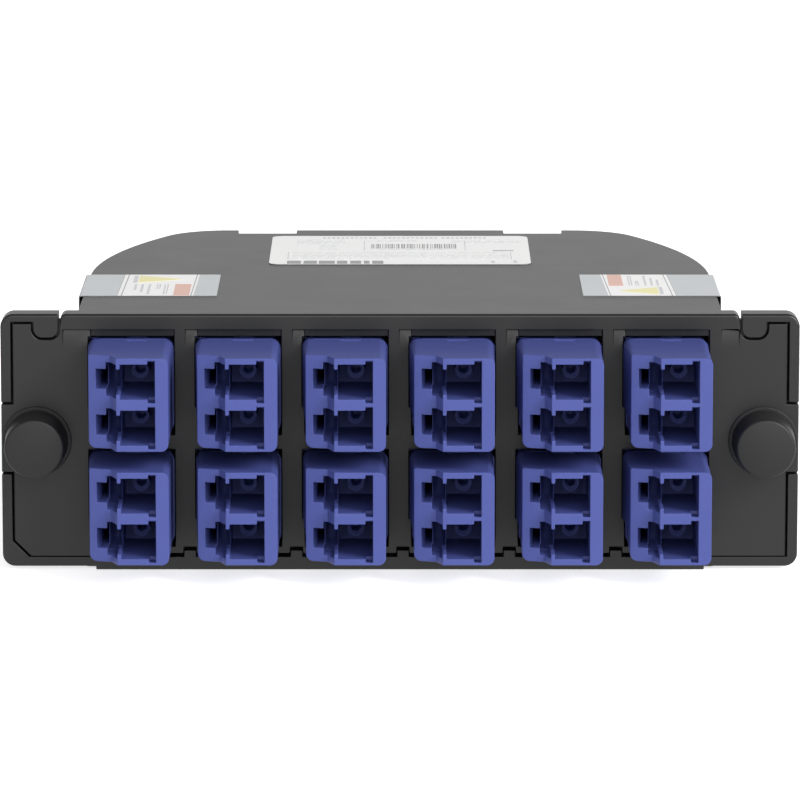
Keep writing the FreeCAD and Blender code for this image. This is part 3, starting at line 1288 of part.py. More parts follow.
def make_grommet(name, side):
    """Split grommet through the ear: thin collar in front, four legs with a barb behind."""
    body = new_body(f"grommet_{name}")
    x = f"{side} * {KNOB_X}"
    half = new_sketch(body, f"grommet_profile_{name}", "XY_Plane", "Sizes.knob_height", x)
    bore = "Sizes.shaft_radius + Sizes.shaft_play"
    wide_bore = f"{bore} + Sizes.shaft_bead"
    tip = "Sizes.ear_depth + Sizes.leg_length"
    corners = (
        (bore, "-Sizes.collar_thick"),
        ("Sizes.collar_radius", "-Sizes.collar_thick"),
        ("Sizes.collar_radius", "0"),
        ("Sizes.shank_radius", "0"),
        ("Sizes.shank_radius", "Sizes.ear_depth"),
        ("Sizes.leg_radius", "Sizes.ear_depth"),
        ("Sizes.leg_radius", f"{tip} - 2"),
        ("Sizes.leg_radius + Sizes.leg_barb", f"{tip} - 1.5"),
        ("Sizes.leg_radius - Sizes.leg_barb", tip),
        (wide_bore, tip),
        (wide_bore, f"{tip} - Sizes.plunger_travel - 1.2"),
        (bore, f"{tip} - Sizes.plunger_travel - 1.2"),
    )
    outline(half, corners)
    turn(body, half)
    slits = front_sketch(body, f"grommet_slits_{name}", "Sizes.ear_depth", x, "Sizes.knob_height")
    reach, half_slit = "Sizes.leg_radius + 1", "Sizes.leg_slit / 2"
    rectangle(slits, f"-({reach})", f"-{half_slit}", reach, half_slit)
    pocket(body, slits, "Sizes.leg_length")
    cross = front_sketch(body, f"grommet_cross_{name}", "Sizes.ear_depth", x, "Sizes.knob_height")
    rectangle(cross, f"-{half_slit}", f"-({reach})", half_slit, reach)
    pocket(body, cross, "Sizes.leg_length")
    return body


def make_plunger(name, side):
    """Push-pull plunger: tapered knob, shaft through the grommet, bead that stops it when pulled out."""
    body = new_body(f"plunger_{name}")
    half = new_sketch(body, f"plunger_profile_{name}", "XY_Plane", "Sizes.knob_height", f"{side} * {KNOB_X}")
    back = "(-Sizes.collar_thick - Sizes.shaft_play)"
    tip = "(Sizes.ear_depth + Sizes.leg_length)"
    corners = (
        ("0", f"{back} - Sizes.knob_length"),
        ("Sizes.knob_nose - Sizes.knob_edge", f"{back} - Sizes.knob_length"),
        ("Sizes.knob_nose", f"{back} - Sizes.knob_length + Sizes.knob_edge"),
        ("Sizes.knob_radius", back),
        ("Sizes.shaft_radius", back),
        ("Sizes.shaft_radius", f"{tip} - 1"),
        ("Sizes.shaft_radius + Sizes.shaft_bead", f"{tip} - 0.7"),
        ("Sizes.shaft_radius + Sizes.shaft_bead", f"{tip} - 0.4"),
        ("Sizes.shaft_radius - Sizes.shaft_bead", f"{tip} - 0.1"),
        ("0", f"{tip} - 0.1"),
    )
    outline(half, corners)
    turn(body, half)
    return body


# ---------------------------------------------------------------- label and tapes


def make_product_label():
    """Label film on the cover, in front of its rear edge."""
    body = new_body("product_label")
    film = new_sketch(body, "label_film", "XY_Plane", COVER_TOP)
    rear = "Sizes.body_depth - Sizes.label_rear"
    corners = (
        ("-Sizes.label_width / 2", f"{rear} - Sizes.label_length", "Sizes.label_round"),
        ("Sizes.label_width / 2", f"{rear} - Sizes.label_length", "Sizes.label_round"),
        ("Sizes.label_width / 2", rear, "Sizes.label_round"),
        ("-Sizes.label_width / 2", rear, "Sizes.label_round"),
    )
    outline(film, corners)
    pad(body, film, "Sizes.film")
    return body


def make_tamper_tape(name, side):
    """Tape from the cover over its edge and down the side wall, across the snap catch."""
    body = new_body(f"tamper_tape_{name}")
    section = front_sketch(body, f"tape_section_{name}", "Sizes.tape_place")
    skin = f"({BODY_HALF} + Sizes.film)"
    corners = (
        (f"{side} * ({BODY_HALF} - Sizes.tape_inward)", COVER_TOP),
        (f"{side} * {BODY_HALF}", COVER_TOP),
        (f"{side} * {BODY_HALF}", f"{COVER_TOP} - Sizes.tape_down"),
        (f"{side} * {skin}", f"{COVER_TOP} - Sizes.tape_down"),
        (f"{side} * {skin}", f"{COVER_TOP} + Sizes.film"),
        (f"{side} * ({BODY_HALF} - Sizes.tape_inward)", f"{COVER_TOP} + Sizes.film"),
    )
    outline(section, corners)
    rear_pad(body, section, "Sizes.tape_length")
    return body


# ---------------------------------------------------------------- build, check, write


def build():
    """Make every sub-part and return the nodes in the order in which they go together."""
    nodes = [make_base_housing(), make_front_panel(), make_top_cover()]
    nodes += make_lc_adapters(make_lc_adapter_pattern())
    nodes.append(make_lc_plugs())
    for name, side in SIDES.items():
        nodes.append(make_mpo_adapter(name, side))
        nodes.append(make_mpo_plug(name, side))
        nodes.append(make_mt_ferrule(name, side))
        nodes.append(make_fanout_block(name, side))
        nodes.append(make_trunk(name, side))
        nodes.append(make_fibres(name, side))
        nodes.append(make_grommet(name, side))
        nodes.append(make_plunger(name, side))
        nodes.append(make_tamper_tape(name, side))
    nodes.append(make_product_label())
    doc.recompute()
    return nodes


def check(nodes):
    """Stop on a failed object, or on a sub-part whose shape is null or not valid."""
    for item in doc.Objects:
        if "Invalid" in item.State or "Error" in item.State:
            raise RuntimeError(f"{item.Label} failed: {item.State}")
    for node in nodes:
        if node.Shape.isNull() or not node.Shape.isValid():
            raise RuntimeError(f"{node.Label} has no valid shape")


def write(nodes):
    """Write each sub-part to its own STEP file."""
    os.makedirs("parts", exist_ok=True)
    for node in nodes:
        node.Shape.exportStep(os.path.join("parts", f"{node.Label}.step"))


all_nodes = build()
check(all_nodes)
write(all_nodes)
print(f"{len(all_nodes)} sub-parts written")
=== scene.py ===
"""Looks of the fibre cassette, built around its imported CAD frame."""

from __future__ import annotations

import json
import logging
import math
import random
from dataclasses import dataclass, field
from enum import Enum
from typing import Any, Iterable, Sequence

import bmesh
import bpy
from mathutils import Matrix, Vector


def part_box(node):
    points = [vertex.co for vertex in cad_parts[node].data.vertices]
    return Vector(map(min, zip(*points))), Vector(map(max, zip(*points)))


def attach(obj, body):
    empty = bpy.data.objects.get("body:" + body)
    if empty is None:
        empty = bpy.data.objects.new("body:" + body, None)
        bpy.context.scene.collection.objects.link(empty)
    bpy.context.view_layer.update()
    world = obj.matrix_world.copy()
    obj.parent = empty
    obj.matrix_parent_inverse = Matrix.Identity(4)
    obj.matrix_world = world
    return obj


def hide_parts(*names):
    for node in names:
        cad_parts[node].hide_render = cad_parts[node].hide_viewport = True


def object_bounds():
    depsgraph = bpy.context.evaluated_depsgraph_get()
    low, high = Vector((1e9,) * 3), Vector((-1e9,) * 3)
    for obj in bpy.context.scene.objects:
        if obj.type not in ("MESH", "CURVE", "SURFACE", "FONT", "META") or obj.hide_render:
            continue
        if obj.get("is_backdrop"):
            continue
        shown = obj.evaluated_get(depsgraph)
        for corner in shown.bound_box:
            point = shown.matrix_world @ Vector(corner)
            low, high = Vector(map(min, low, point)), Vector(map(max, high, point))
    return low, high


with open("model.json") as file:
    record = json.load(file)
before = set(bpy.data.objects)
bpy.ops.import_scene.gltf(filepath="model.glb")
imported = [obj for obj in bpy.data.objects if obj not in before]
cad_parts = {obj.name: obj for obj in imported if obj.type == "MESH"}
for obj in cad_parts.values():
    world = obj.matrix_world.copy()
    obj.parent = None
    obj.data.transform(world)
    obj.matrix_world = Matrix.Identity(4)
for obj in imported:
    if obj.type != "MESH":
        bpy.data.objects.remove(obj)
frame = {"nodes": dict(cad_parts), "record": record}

LOG = logging.getLogger("fibre_cassette")
MM = 0.001
WHITE = (1.0, 1.0, 1.0, 1.0)
# Share of a unit normal that lies along an axis, from which a face counts as square on to it
SQUARE_ON = 0.99


class Side(Enum):
    """Side of the cassette as seen from its front."""

    LEFT = "left"
    RIGHT = "right"

    @property
    def sign(self) -> int:
        """Direction of the side along x."""
        return -1 if self is Side.LEFT else 1


class Row(Enum):
    """Row of LC adapters."""

    LOWER = "lower"
    UPPER = "upper"


# ---------------------------------------------------------------- shader helpers


def linear(hex_colour: str) -> tuple[float, float, float, float]:
    """Turn an sRGB hex colour into the linear colour that a shader takes.

    Args:
        hex_colour: six hex digits, with or without a leading #.

    Returns:
        Linear red, green, blue and an alpha of 1.
    """
    digits = hex_colour.lstrip("#")
    channels = (int(digits[i : i + 2], 16) / 255 for i in (0, 2, 4))
    red, green, blue = (c / 12.92 if c <= 0.04045 else ((c + 0.055) / 1.055) ** 2.4 for c in channels)
    return red, green, blue, 1.0


def add_node(
    tree: bpy.types.NodeTree,
    kind: str,
    settings: dict[str, Any] | None = None,
    inputs: dict[str | int, Any] | None = None,
) -> bpy.types.Node:
    """Add a shader node with its settings, input values and links.

    Args:
        tree: node tree that takes the node.
        kind: Blender's name for the node's type.
        settings: attributes of the node.
        inputs: for each input's name or number, a value or the socket that feeds it.

    Returns:
        The new node.
    """
    node = tree.nodes.new(kind)
    for name, setting in (settings or {}).items():
        setattr(node, name, setting)
    for name, given in (inputs or {}).items():
        if isinstance(given, bpy.types.NodeSocket):
            tree.links.new(given, node.inputs[name])
        else:
            node.inputs[name].default_value = given
    return node


def map_range(
    tree: bpy.types.NodeTree,
    value: bpy.types.NodeSocket,
    ends: tuple[float, float],
    levels: tuple[float, float],
    interpolation: str = "LINEAR",
) -> bpy.types.NodeSocket:
    """Turn the range of a value into a range of levels.

    Args:
        tree: node tree that takes the node.
        value: what the level follows.
        ends: the value at each end of its range.
        levels: the level at each end.
        interpolation: Blender's name for the way from one end to the other.

    Returns:
        Socket with the level.
    """
    names = ("Value", "From Min", "From Max", "To Min", "To Max")
    inputs = dict(zip(names, (value, *ends, *levels)))
    return add_node(tree, "ShaderNodeMapRange", {"interpolation_type": interpolation}, inputs).outputs[0]


def mix_shaders(
    tree: bpy.types.NodeTree, share: bpy.types.NodeSocket, first: bpy.types.Node, second: bpy.types.Node
) -> bpy.types.Node:
    """Mix two shaders.

    Args:
        tree: node tree that takes the node.
        share: share of the second shader.
        first: node of the first shader.
        second: node of the second one.

    Returns:
        The mixing node.
    """
    return add_node(tree, "ShaderNodeMixShader", inputs={0: share, 1: first.outputs[0], 2: second.outputs[0]})


def empty_material(name: str) -> bpy.types.Material:
    """Make a material with an empty node tree.

    Args:
        name: the material's name.

    Returns:
        The material.
    """
    material = bpy.data.materials.new(name)
    material.use_nodes = True
    material.node_tree.nodes.clear()
    return material


def per_metre(size_mm: float) -> float:
    """Texture scale at which one cell of a pattern is size_mm wide."""
    return 1 / (size_mm * MM)


# ---------------------------------------------------------------- finishes


@dataclass(frozen=True)
class MouldedPlastic:
    """Injection-moulded thermoplastic with the texture that its mould was given.

    The grain is a spark-eroded or lightly blasted steel's: it scatters reflections into a soft sheen. A slow
    drift of tone and gloss stands for the flow of the melt and for handling.
    """

    name: str
    colour: str
    roughness: float = 0.5
    grain_mm: float = 0.35
    grain_depth_mm: float = 0.006
    tone_drift: float = 0.015
    gloss_drift: float = 0.008
    drift_mm: float = 9.0
    ior: float = 1.5
    sheen_level: float = 0.5
    noise_ends: tuple[float, float] = (0.3, 0.7)

    def build(self) -> bpy.types.Material:
        """Build the material.

        Returns:
            Material with grain as bump, and drifting tone and roughness.
        """
        material = empty_material(self.name)
        tree = material.node_tree
        place = add_node(tree, "ShaderNodeTexCoord").outputs["Object"]
        drift = add_node(
            tree,
            "ShaderNodeTexNoise",
            inputs={"Vector": place, "Scale": per_metre(self.drift_mm), "Detail": 3.0, "Roughness": 0.55},
        )
        # Grain is drawn coarser than the real 0.05 to 0.1 mm pits, which would vanish at this distance.
        grain = add_node(
            tree,
            "ShaderNodeTexNoise",
            inputs={"Vector": place, "Scale": per_metre(self.grain_mm), "Detail": 2.0, "Roughness": 0.6},
        )
        tones = (1 - self.tone_drift, 1 + self.tone_drift)
        tone = map_range(tree, drift.outputs["Fac"], self.noise_ends, tones)
        colour = add_node(
            tree,
            "ShaderNodeVectorMath",
            {"operation": "SCALE"},
            {0: linear(self.colour)[:3], "Scale": tone},
        )
        glosses = (self.roughness - self.gloss_drift, self.roughness + self.gloss_drift)
        gloss = map_range(tree, drift.outputs["Fac"], self.noise_ends, glosses)
        bump = add_node(
            tree,
            "ShaderNodeBump",
            inputs={"Height": grain.outputs["Fac"], "Distance": self.grain_depth_mm * MM, "Strength": 1.0},
        )
        shader = add_node(
            tree,
            "ShaderNodeBsdfPrincipled",
            inputs={
                "Base Color": colour.outputs["Vector"],
                "Roughness": gloss,
                "IOR": self.ior,
                "Specular IOR Level": self.sheen_level,
                "Normal": bump.outputs["Normal"],
            },
        )
        add_node(tree, "ShaderNodeOutputMaterial", inputs={"Surface": shader.outputs["BSDF"]})
        return material


@dataclass(frozen=True)
class PrintedFilm:
    """Polyester or vinyl film with a satin face, die-cut and stuck down, or the ink printed on it."""

    name: str
    colour: str
    roughness: float = 0.45
    ripple_mm: float = 2.4
    ripple_depth_mm: float = 0.01
    tone_drift: float = 0.02
    gloss_drift: float = 0.02
    sheen_level: float = 0.5

    def build(self) -> bpy.types.Material:
        """Build the material.

        Returns:
            Material with a faint orange-peel ripple, as film shows over an adhesive.
        """
        return MouldedPlastic(
            self.name,
            self.colour,
            roughness=self.roughness,
            grain_mm=self.ripple_mm,
            grain_depth_mm=self.ripple_depth_mm,
            tone_drift=self.tone_drift,
            gloss_drift=self.gloss_drift,
            sheen_level=self.sheen_level,
        ).build()


class Finish(Enum):
    """Finishes of the cassette's pieces."""

    # Black ABS from a spark-eroded mould: deep grey with a soft grazing sheen
    BLACK_ABS = MouldedPlastic("black_abs_spark_eroded", "#1E1E1E", roughness=0.32, sheen_level=0.36)
    # Smoother black PBT for turned and clipped pieces: even and a little duller
    BLACK_PBT = MouldedPlastic(
        "black_pbt_moulded",
        "#1F1F1F",
        roughness=0.46,
        grain_mm=0.5,
        grain_depth_mm=0.003,
        sheen_level=0.3,
    )
    # Blue-violet PBT from a polished mould: an even, slightly waxy colour
    ADAPTER_PBT = MouldedPlastic(
        "blue_violet_pbt_moulded",
        "#464F8C",
        roughness=0.5,
        grain_mm=0.6,
        grain_depth_mm=0.002,
        sheen_level=0.2,
    )
    # Aqua PBT of the multi-fibre plugs: satin, with a slight drift of tone
    AQUA_PBT = MouldedPlastic("aqua_pbt_moulded", "#3A98A6", roughness=0.4, tone_drift=0.03)
    # Glass-filled PPS of the multi-fibre ferrule: dry matt black
    FERRULE_PPS = MouldedPlastic("glass_filled_pps", "#232323", roughness=0.6, grain_mm=0.2)
    # Extruded LSZH jacket: waxy and fairly even
    AQUA_JACKET = MouldedPlastic("aqua_extruded_jacket", "#3FA5B2", roughness=0.5, grain_mm=0.8)
    # White of the label and of the tapes' printed field: laminated over, so brighter and glossier than vinyl
    WHITE_FILM = PrintedFilm("white_polyester_film", "#F6F6F5", roughness=0.3, sheen_level=1.0)
    # Vinyl of the tapes: a cool, even satin grey
    GREY_FILM = PrintedFilm("grey_vinyl_film", "#C9CDCF", roughness=0.5)
    # Cut edge of a film, where the grey adhesive shows
    FILM_EDGE = PrintedFilm("cut_film_edge", "#77787A", roughness=0.6)
    # Dull inks, paler than solid print, as fine marks look from afar: grey and pale grey for rules and bars
    GREY_INK = PrintedFilm("grey_thermal_ink", "#A2A2A4", roughness=0.55, ripple_depth_mm=0.004)
    PALE_INK = PrintedFilm("pale_grey_ink", "#D3D4D6", roughness=0.55, ripple_depth_mm=0.004)
    # Washed-out salmon and yellow for the tapes' two fields of colour
    SALMON_INK = PrintedFilm("salmon_ink", "#E3BBAF", roughness=0.5, ripple_depth_mm=0.004)
    YELLOW_INK = PrintedFilm("pale_yellow_ink", "#F2EBB4", roughness=0.5, ripple_depth_mm=0.004)

    @property
    def material(self) -> bpy.types.Material:
        """The finish's material, built on first use."""
        return bpy.data.materials.get(self.value.name) or self.value.build()


# ---------------------------------------------------------------- mesh helpers


@dataclass(frozen=True)
class WideRound:
    """Larger radius on the edges that lie inside a box.

    Attributes:
        radius_mm: radius of the rounded edges.
        low_mm: lowest corner of the box.
        high_mm: highest corner of the box.
        segments: facets across a rounded edge.
    """

    radius_mm: float
    low_mm: tuple[float, float, float]
    high_mm: tuple[float, float, float]
    segments: int = 5

    def holds(self, edge: bmesh.types.BMEdge) -> bool:
        """Tell whether both ends of an edge lie inside the box.

        Args:
            edge: edge to look at.

        Returns:
            True where they do.
        """
        return all(
            low * MM <= value <= high * MM
            for vert in edge.verts
            for low, value, high in zip(self.low_mm, vert.co, self.high_mm)
        )


@dataclass(frozen=True)
class SoftEdges:
    """Small radii that a moulded piece has on its sharp edges.

    Attributes:
        radius_mm: radius of the rounded edges.
        from_angle: edges that turn by more than this many degrees are rounded.
        segments: facets across a rounded edge.
        smooth_below: edges that turn by less than this many degrees are shaded smooth.
        flat_within: facets that turn by less than this many degrees become one flat face.
        weld_mm: corners closer than this become one.
        wide: larger radii that are made first.
    """

    radius_mm: float = 0.12
    from_angle: float = 32.0
    segments: int = 2
    smooth_below: float = 50.0
    flat_within: float = 0.3
    weld_mm: float = 0.002
    wide: tuple[WideRound, ...] = ()

    def apply(self, mesh: bpy.types.Mesh) -> None:
        """Round the sharp edges of a mesh in place and shade the rest smooth.

        Args:
            mesh: closed mesh, in metres.
        """
        work = bmesh.new()
        work.from_mesh(mesh)
        bmesh.ops.remove_doubles(work, verts=work.verts, dist=self.weld_mm * MM)
        bmesh.ops.dissolve_limit(
            work,
            angle_limit=math.radians(self.flat_within),
            use_dissolve_boundaries=False,
            verts=work.verts,
            edges=work.edges,
        )
        for wide in self.wide:
            self.round_edges(work, [edge for edge in self.sharp_edges(work) if wide.holds(edge)], wide)
        self.round_edges(work, self.sharp_edges(work), self)
        for face in work.faces:
            face.smooth = True
        work.to_mesh(mesh)
        work.free()
        mesh.set_sharp_from_angle(angle=math.radians(self.smooth_below))

    def sharp_edges(self, work: bmesh.types.BMesh) -> list[bmesh.types.BMEdge]:
        """Edges that turn by more than the limit."""
        limit = math.radians(self.from_angle)
        return [edge for edge in work.edges if len(edge.link_faces) == 2 and edge.calc_face_angle(0) > limit]

    @staticmethod
    def round_edges(
        work: bmesh.types.BMesh, edges: list[bmesh.types.BMEdge], size: WideRound | SoftEdges
    ) -> None:
        """Round edges in place.

        Args:
            work: mesh that is being worked on.
            edges: its edges to round.
            size: holds the radius and the number of facets.
        """
        bmesh.ops.bevel(
            work,
            geom=edges,
            offset=size.radius_mm * MM,
            offset_type="OFFSET",
            segments=size.segments,
            profile=0.5,
            affect="EDGES",
            clamp_overlap=False,
            loop_slide=False,
            miter_outer="SHARP",
        )


def front_faces(
    work: bmesh.types.BMesh, depth: float, tolerance_mm: float = 0.03
) -> list[bmesh.types.BMFace]:
    """Faces that look to the front at one depth.

    Args:
        work: mesh that is being worked on.
        depth: their y, in metres.
        tolerance_mm: how far off that depth they may lie.

    Returns:
        The faces.
    """
    return [
        face
        for face in work.faces
        if face.normal.y < -SQUARE_ON and abs(face.calc_center_median().y - depth) < tolerance_mm * MM
    ]


def add_sleeve(
    work: bmesh.types.BMesh,
    centre: Vector,
    outer_mm: Sequence[tuple[float, float]],
    inner_mm: Sequence[tuple[float, float]],
    depths_mm: tuple[float, float],
) -> None:
    """Add a closed sleeve whose axis runs to the rear.

    Args:
        work: mesh that takes it.
        centre: point on its axis, in metres.
        outer_mm: x and z of its outer outline's points about the axis.
        inner_mm: the same for its inner outline, point by point.
        depths_mm: y of its two ends, from the centre.
    """
    rings = []
    for outline, depth in (
        (outer_mm, depths_mm[0]),
        (outer_mm, depths_mm[1]),
        (inner_mm, depths_mm[1]),
        (inner_mm, depths_mm[0]),
    ):
        rings.append([work.verts.new(centre + Vector((x, depth, z)) * MM) for x, z in outline])
    count = len(outer_mm)
    for ring, following in zip(rings, rings[1:] + rings[:1]):
        for i in range(count):
            after = (i + 1) % count
            face = work.faces.new((ring[i], following[i], following[after], ring[after]))
            face.smooth = True


def box_mesh(name: str, boxes: Iterable[tuple[Vector, Vector]]) -> bpy.types.Mesh:
    """Make one mesh of closed, upright blocks.

    Args:
        name: the mesh's name.
        boxes: lowest and highest corner of each block, in metres.

    Returns:
        The mesh.
    """
    verts: list[tuple[float, float, float]] = []
    faces: list[tuple[int, ...]] = []
    sides = ((0, 2, 3, 1), (4, 5, 7, 6), (0, 1, 5, 4), (2, 6, 7, 3), (0, 4, 6, 2), (1, 3, 7, 5))
    for low, high in boxes:
        start = len(verts)
        verts += [(x, y, z) for z in (low.z, high.z) for y in (low.y, high.y) for x in (low.x, high.x)]
        faces += [tuple(start + corner for corner in side) for side in sides]
    mesh = bpy.data.meshes.new(name)
    mesh.from_pydata(verts, [], faces)
    return mesh


def link_object(name: str, mesh: bpy.types.Mesh, finishes: Sequence[Finish]) -> bpy.types.Object:
    """Make an object of a mesh and give it its finishes.

    Args:
        name: the piece's name.
        mesh: its mesh, in metres in the frame's axes.
        finishes: one finish for each material slot.

    Returns:
        The linked object.
    """
    materials = [finish.material for finish in finishes]
    if list(mesh.materials) != materials:
        if mesh.materials:
            mesh.materials.clear()
        for material in materials:
            mesh.materials.append(material)
    piece = bpy.data.objects.new(name, mesh)
    bpy.context.scene.collection.objects.link(piece)
    flats = piece.modifiers.new("flat_faces_lead", "WEIGHTED_NORMAL")
    flats.keep_sharp = True
    return piece


def soft_copy(node: str, edges: SoftEdges) -> bpy.types.Mesh:
    """Copy a CAD node's mesh and round its edges.

    Args:
        node: name of the CAD node.
        edges: radii for its edges.

    Returns:
        New mesh in the frame's axes.
    """
    mesh = frame["nodes"][node].data.copy()
    mesh.name = f"{node}_soft"
    edges.apply(mesh)
    return mesh


def body_with(node: str) -> str:
    """Name of the CAD body that holds a node."""
    bodies = frame["record"]["behaviour"]["bodies"]
    return next(name for name, members in bodies.items() if node in members)


def settle(piece: bpy.types.Object, node: str, nodes: Iterable[str] = ()) -> None:
    """Let a piece ride with a CAD node's body and hide what it stands for.

    Args:
        piece: the finished piece, in place.
        node: CAD node whose body it takes.
        nodes: CAD nodes that the piece replaces.
    """
    body = body_with(node)
    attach(piece, body)
    replaced = list(nodes)
    if replaced:
        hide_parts(*replaced)
    LOG.info("%s on %s, %d faces", piece.name, body, len(piece.data.polygons))


def dress(node: str, finish: Finish) -> None:
    """Give a finish to a CAD node that stays as it is.

    Args:
        node: name of the CAD node.
        finish: its finish.
    """
    mesh = frame["nodes"][node].data
    mesh.materials.clear()
    mesh.materials.append(finish.material)


# ---------------------------------------------------------------- housing


@dataclass
class Housing:
    """Tray with ears, front panel and cover, with the radii that their moulds leave."""

    edge_mm: float = 0.12
    brow_mm: float = 0.4
    brow_depths_mm: tuple[tuple[str, float], ...] = (("front_panel", 1.0), ("base_housing", 1.5))
    brow_spare_mm: float = 0.01
    catch_proud_mm: float = 0.55
    catch_sunk_mm: float = 0.3
    catch_inset_mm: float = 3.0
    catch_top_mm: float = 0.25
    catch_height_mm: float = 3.4
    catch_edges: SoftEdges = SoftEdges(radius_mm=0.1)
    web_reach_mm: tuple[float, float] = (45.7, 46.9)
    web_depth_mm: tuple[float, float] = (1.1, 2.1)
    web_below_mm: tuple[float, float] = (0.85, 3.2)
    nodes: tuple[str, ...] = ("base_housing", "front_panel", "top_cover")

    def build(self) -> None:
        """Build the three shells, the webs beside the ears and the snap catches under the tapes."""
        for node in self.nodes:
            piece = link_object(f"{node}_shell", soft_copy(node, self.edges(node)), [Finish.BLACK_ABS])
            settle(piece, node, [node])
        self.build_webs()
        self.build_catches()

    def edges(self, node: str) -> SoftEdges:
        """Radii of a shell; the upper front edges of the panel and of the ears have a wider one.

        Args:
            node: name of the shell's CAD node.

        Returns:
            The radii.
        """
        low, high = (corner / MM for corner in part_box(node))
        spare = self.brow_spare_mm
        brows = tuple(
            WideRound(
                self.brow_mm,
                (low.x - spare, low.y - spare, high.z - depth),
                (high.x + spare, low.y + spare, high.z + spare),
            )
            for name, depth in self.brow_depths_mm
            if name == node
        )
        return SoftEdges(radius_mm=self.edge_mm, wide=brows)

    def build_webs(self) -> None:
        """Build the webs that close the lower part of the notch between each ear and the panel."""
        node = "base_housing"
        low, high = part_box(node)
        for side in Side:
            across = sorted(side.sign * reach * MM for reach in self.web_reach_mm)
            first = Vector((across[0], low.y + self.web_depth_mm[0] * MM, high.z - self.web_below_mm[1] * MM))
            last = Vector((across[1], low.y + self.web_depth_mm[1] * MM, high.z - self.web_below_mm[0] * MM))
            name = f"notch_web_{side.value}"
            piece = link_object(name, box_mesh(name, [(first, last)]), [Finish.BLACK_ABS])
            settle(piece, node)

    def build_catches(self) -> None:
        """Build the noses of the cover's snap catches, which hold the tapes off the side walls."""
        cover_low, cover_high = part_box("top_cover")
        for side in Side:
            tape_low, tape_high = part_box(f"tamper_tape_{side.value}")
            wall = cover_low.x if side is Side.LEFT else cover_high.x
            across = sorted(
                (wall - side.sign * self.catch_sunk_mm * MM, wall + side.sign * self.catch_proud_mm * MM)
            )
            top = cover_high.z - self.catch_top_mm * MM
            low = Vector((across[0], tape_low.y + self.catch_inset_mm * MM, top - self.catch_height_mm * MM))
            high = Vector((across[1], tape_high.y - self.catch_inset_mm * MM, top))
            mesh = box_mesh(f"snap_catch_{side.value}", [(low, high)])
            self.catch_edges.apply(mesh)
            piece = link_object(f"snap_catch_{side.value}", mesh, [Finish.BLACK_ABS])
            settle(piece, "top_cover")


# ---------------------------------------------------------------- adapters


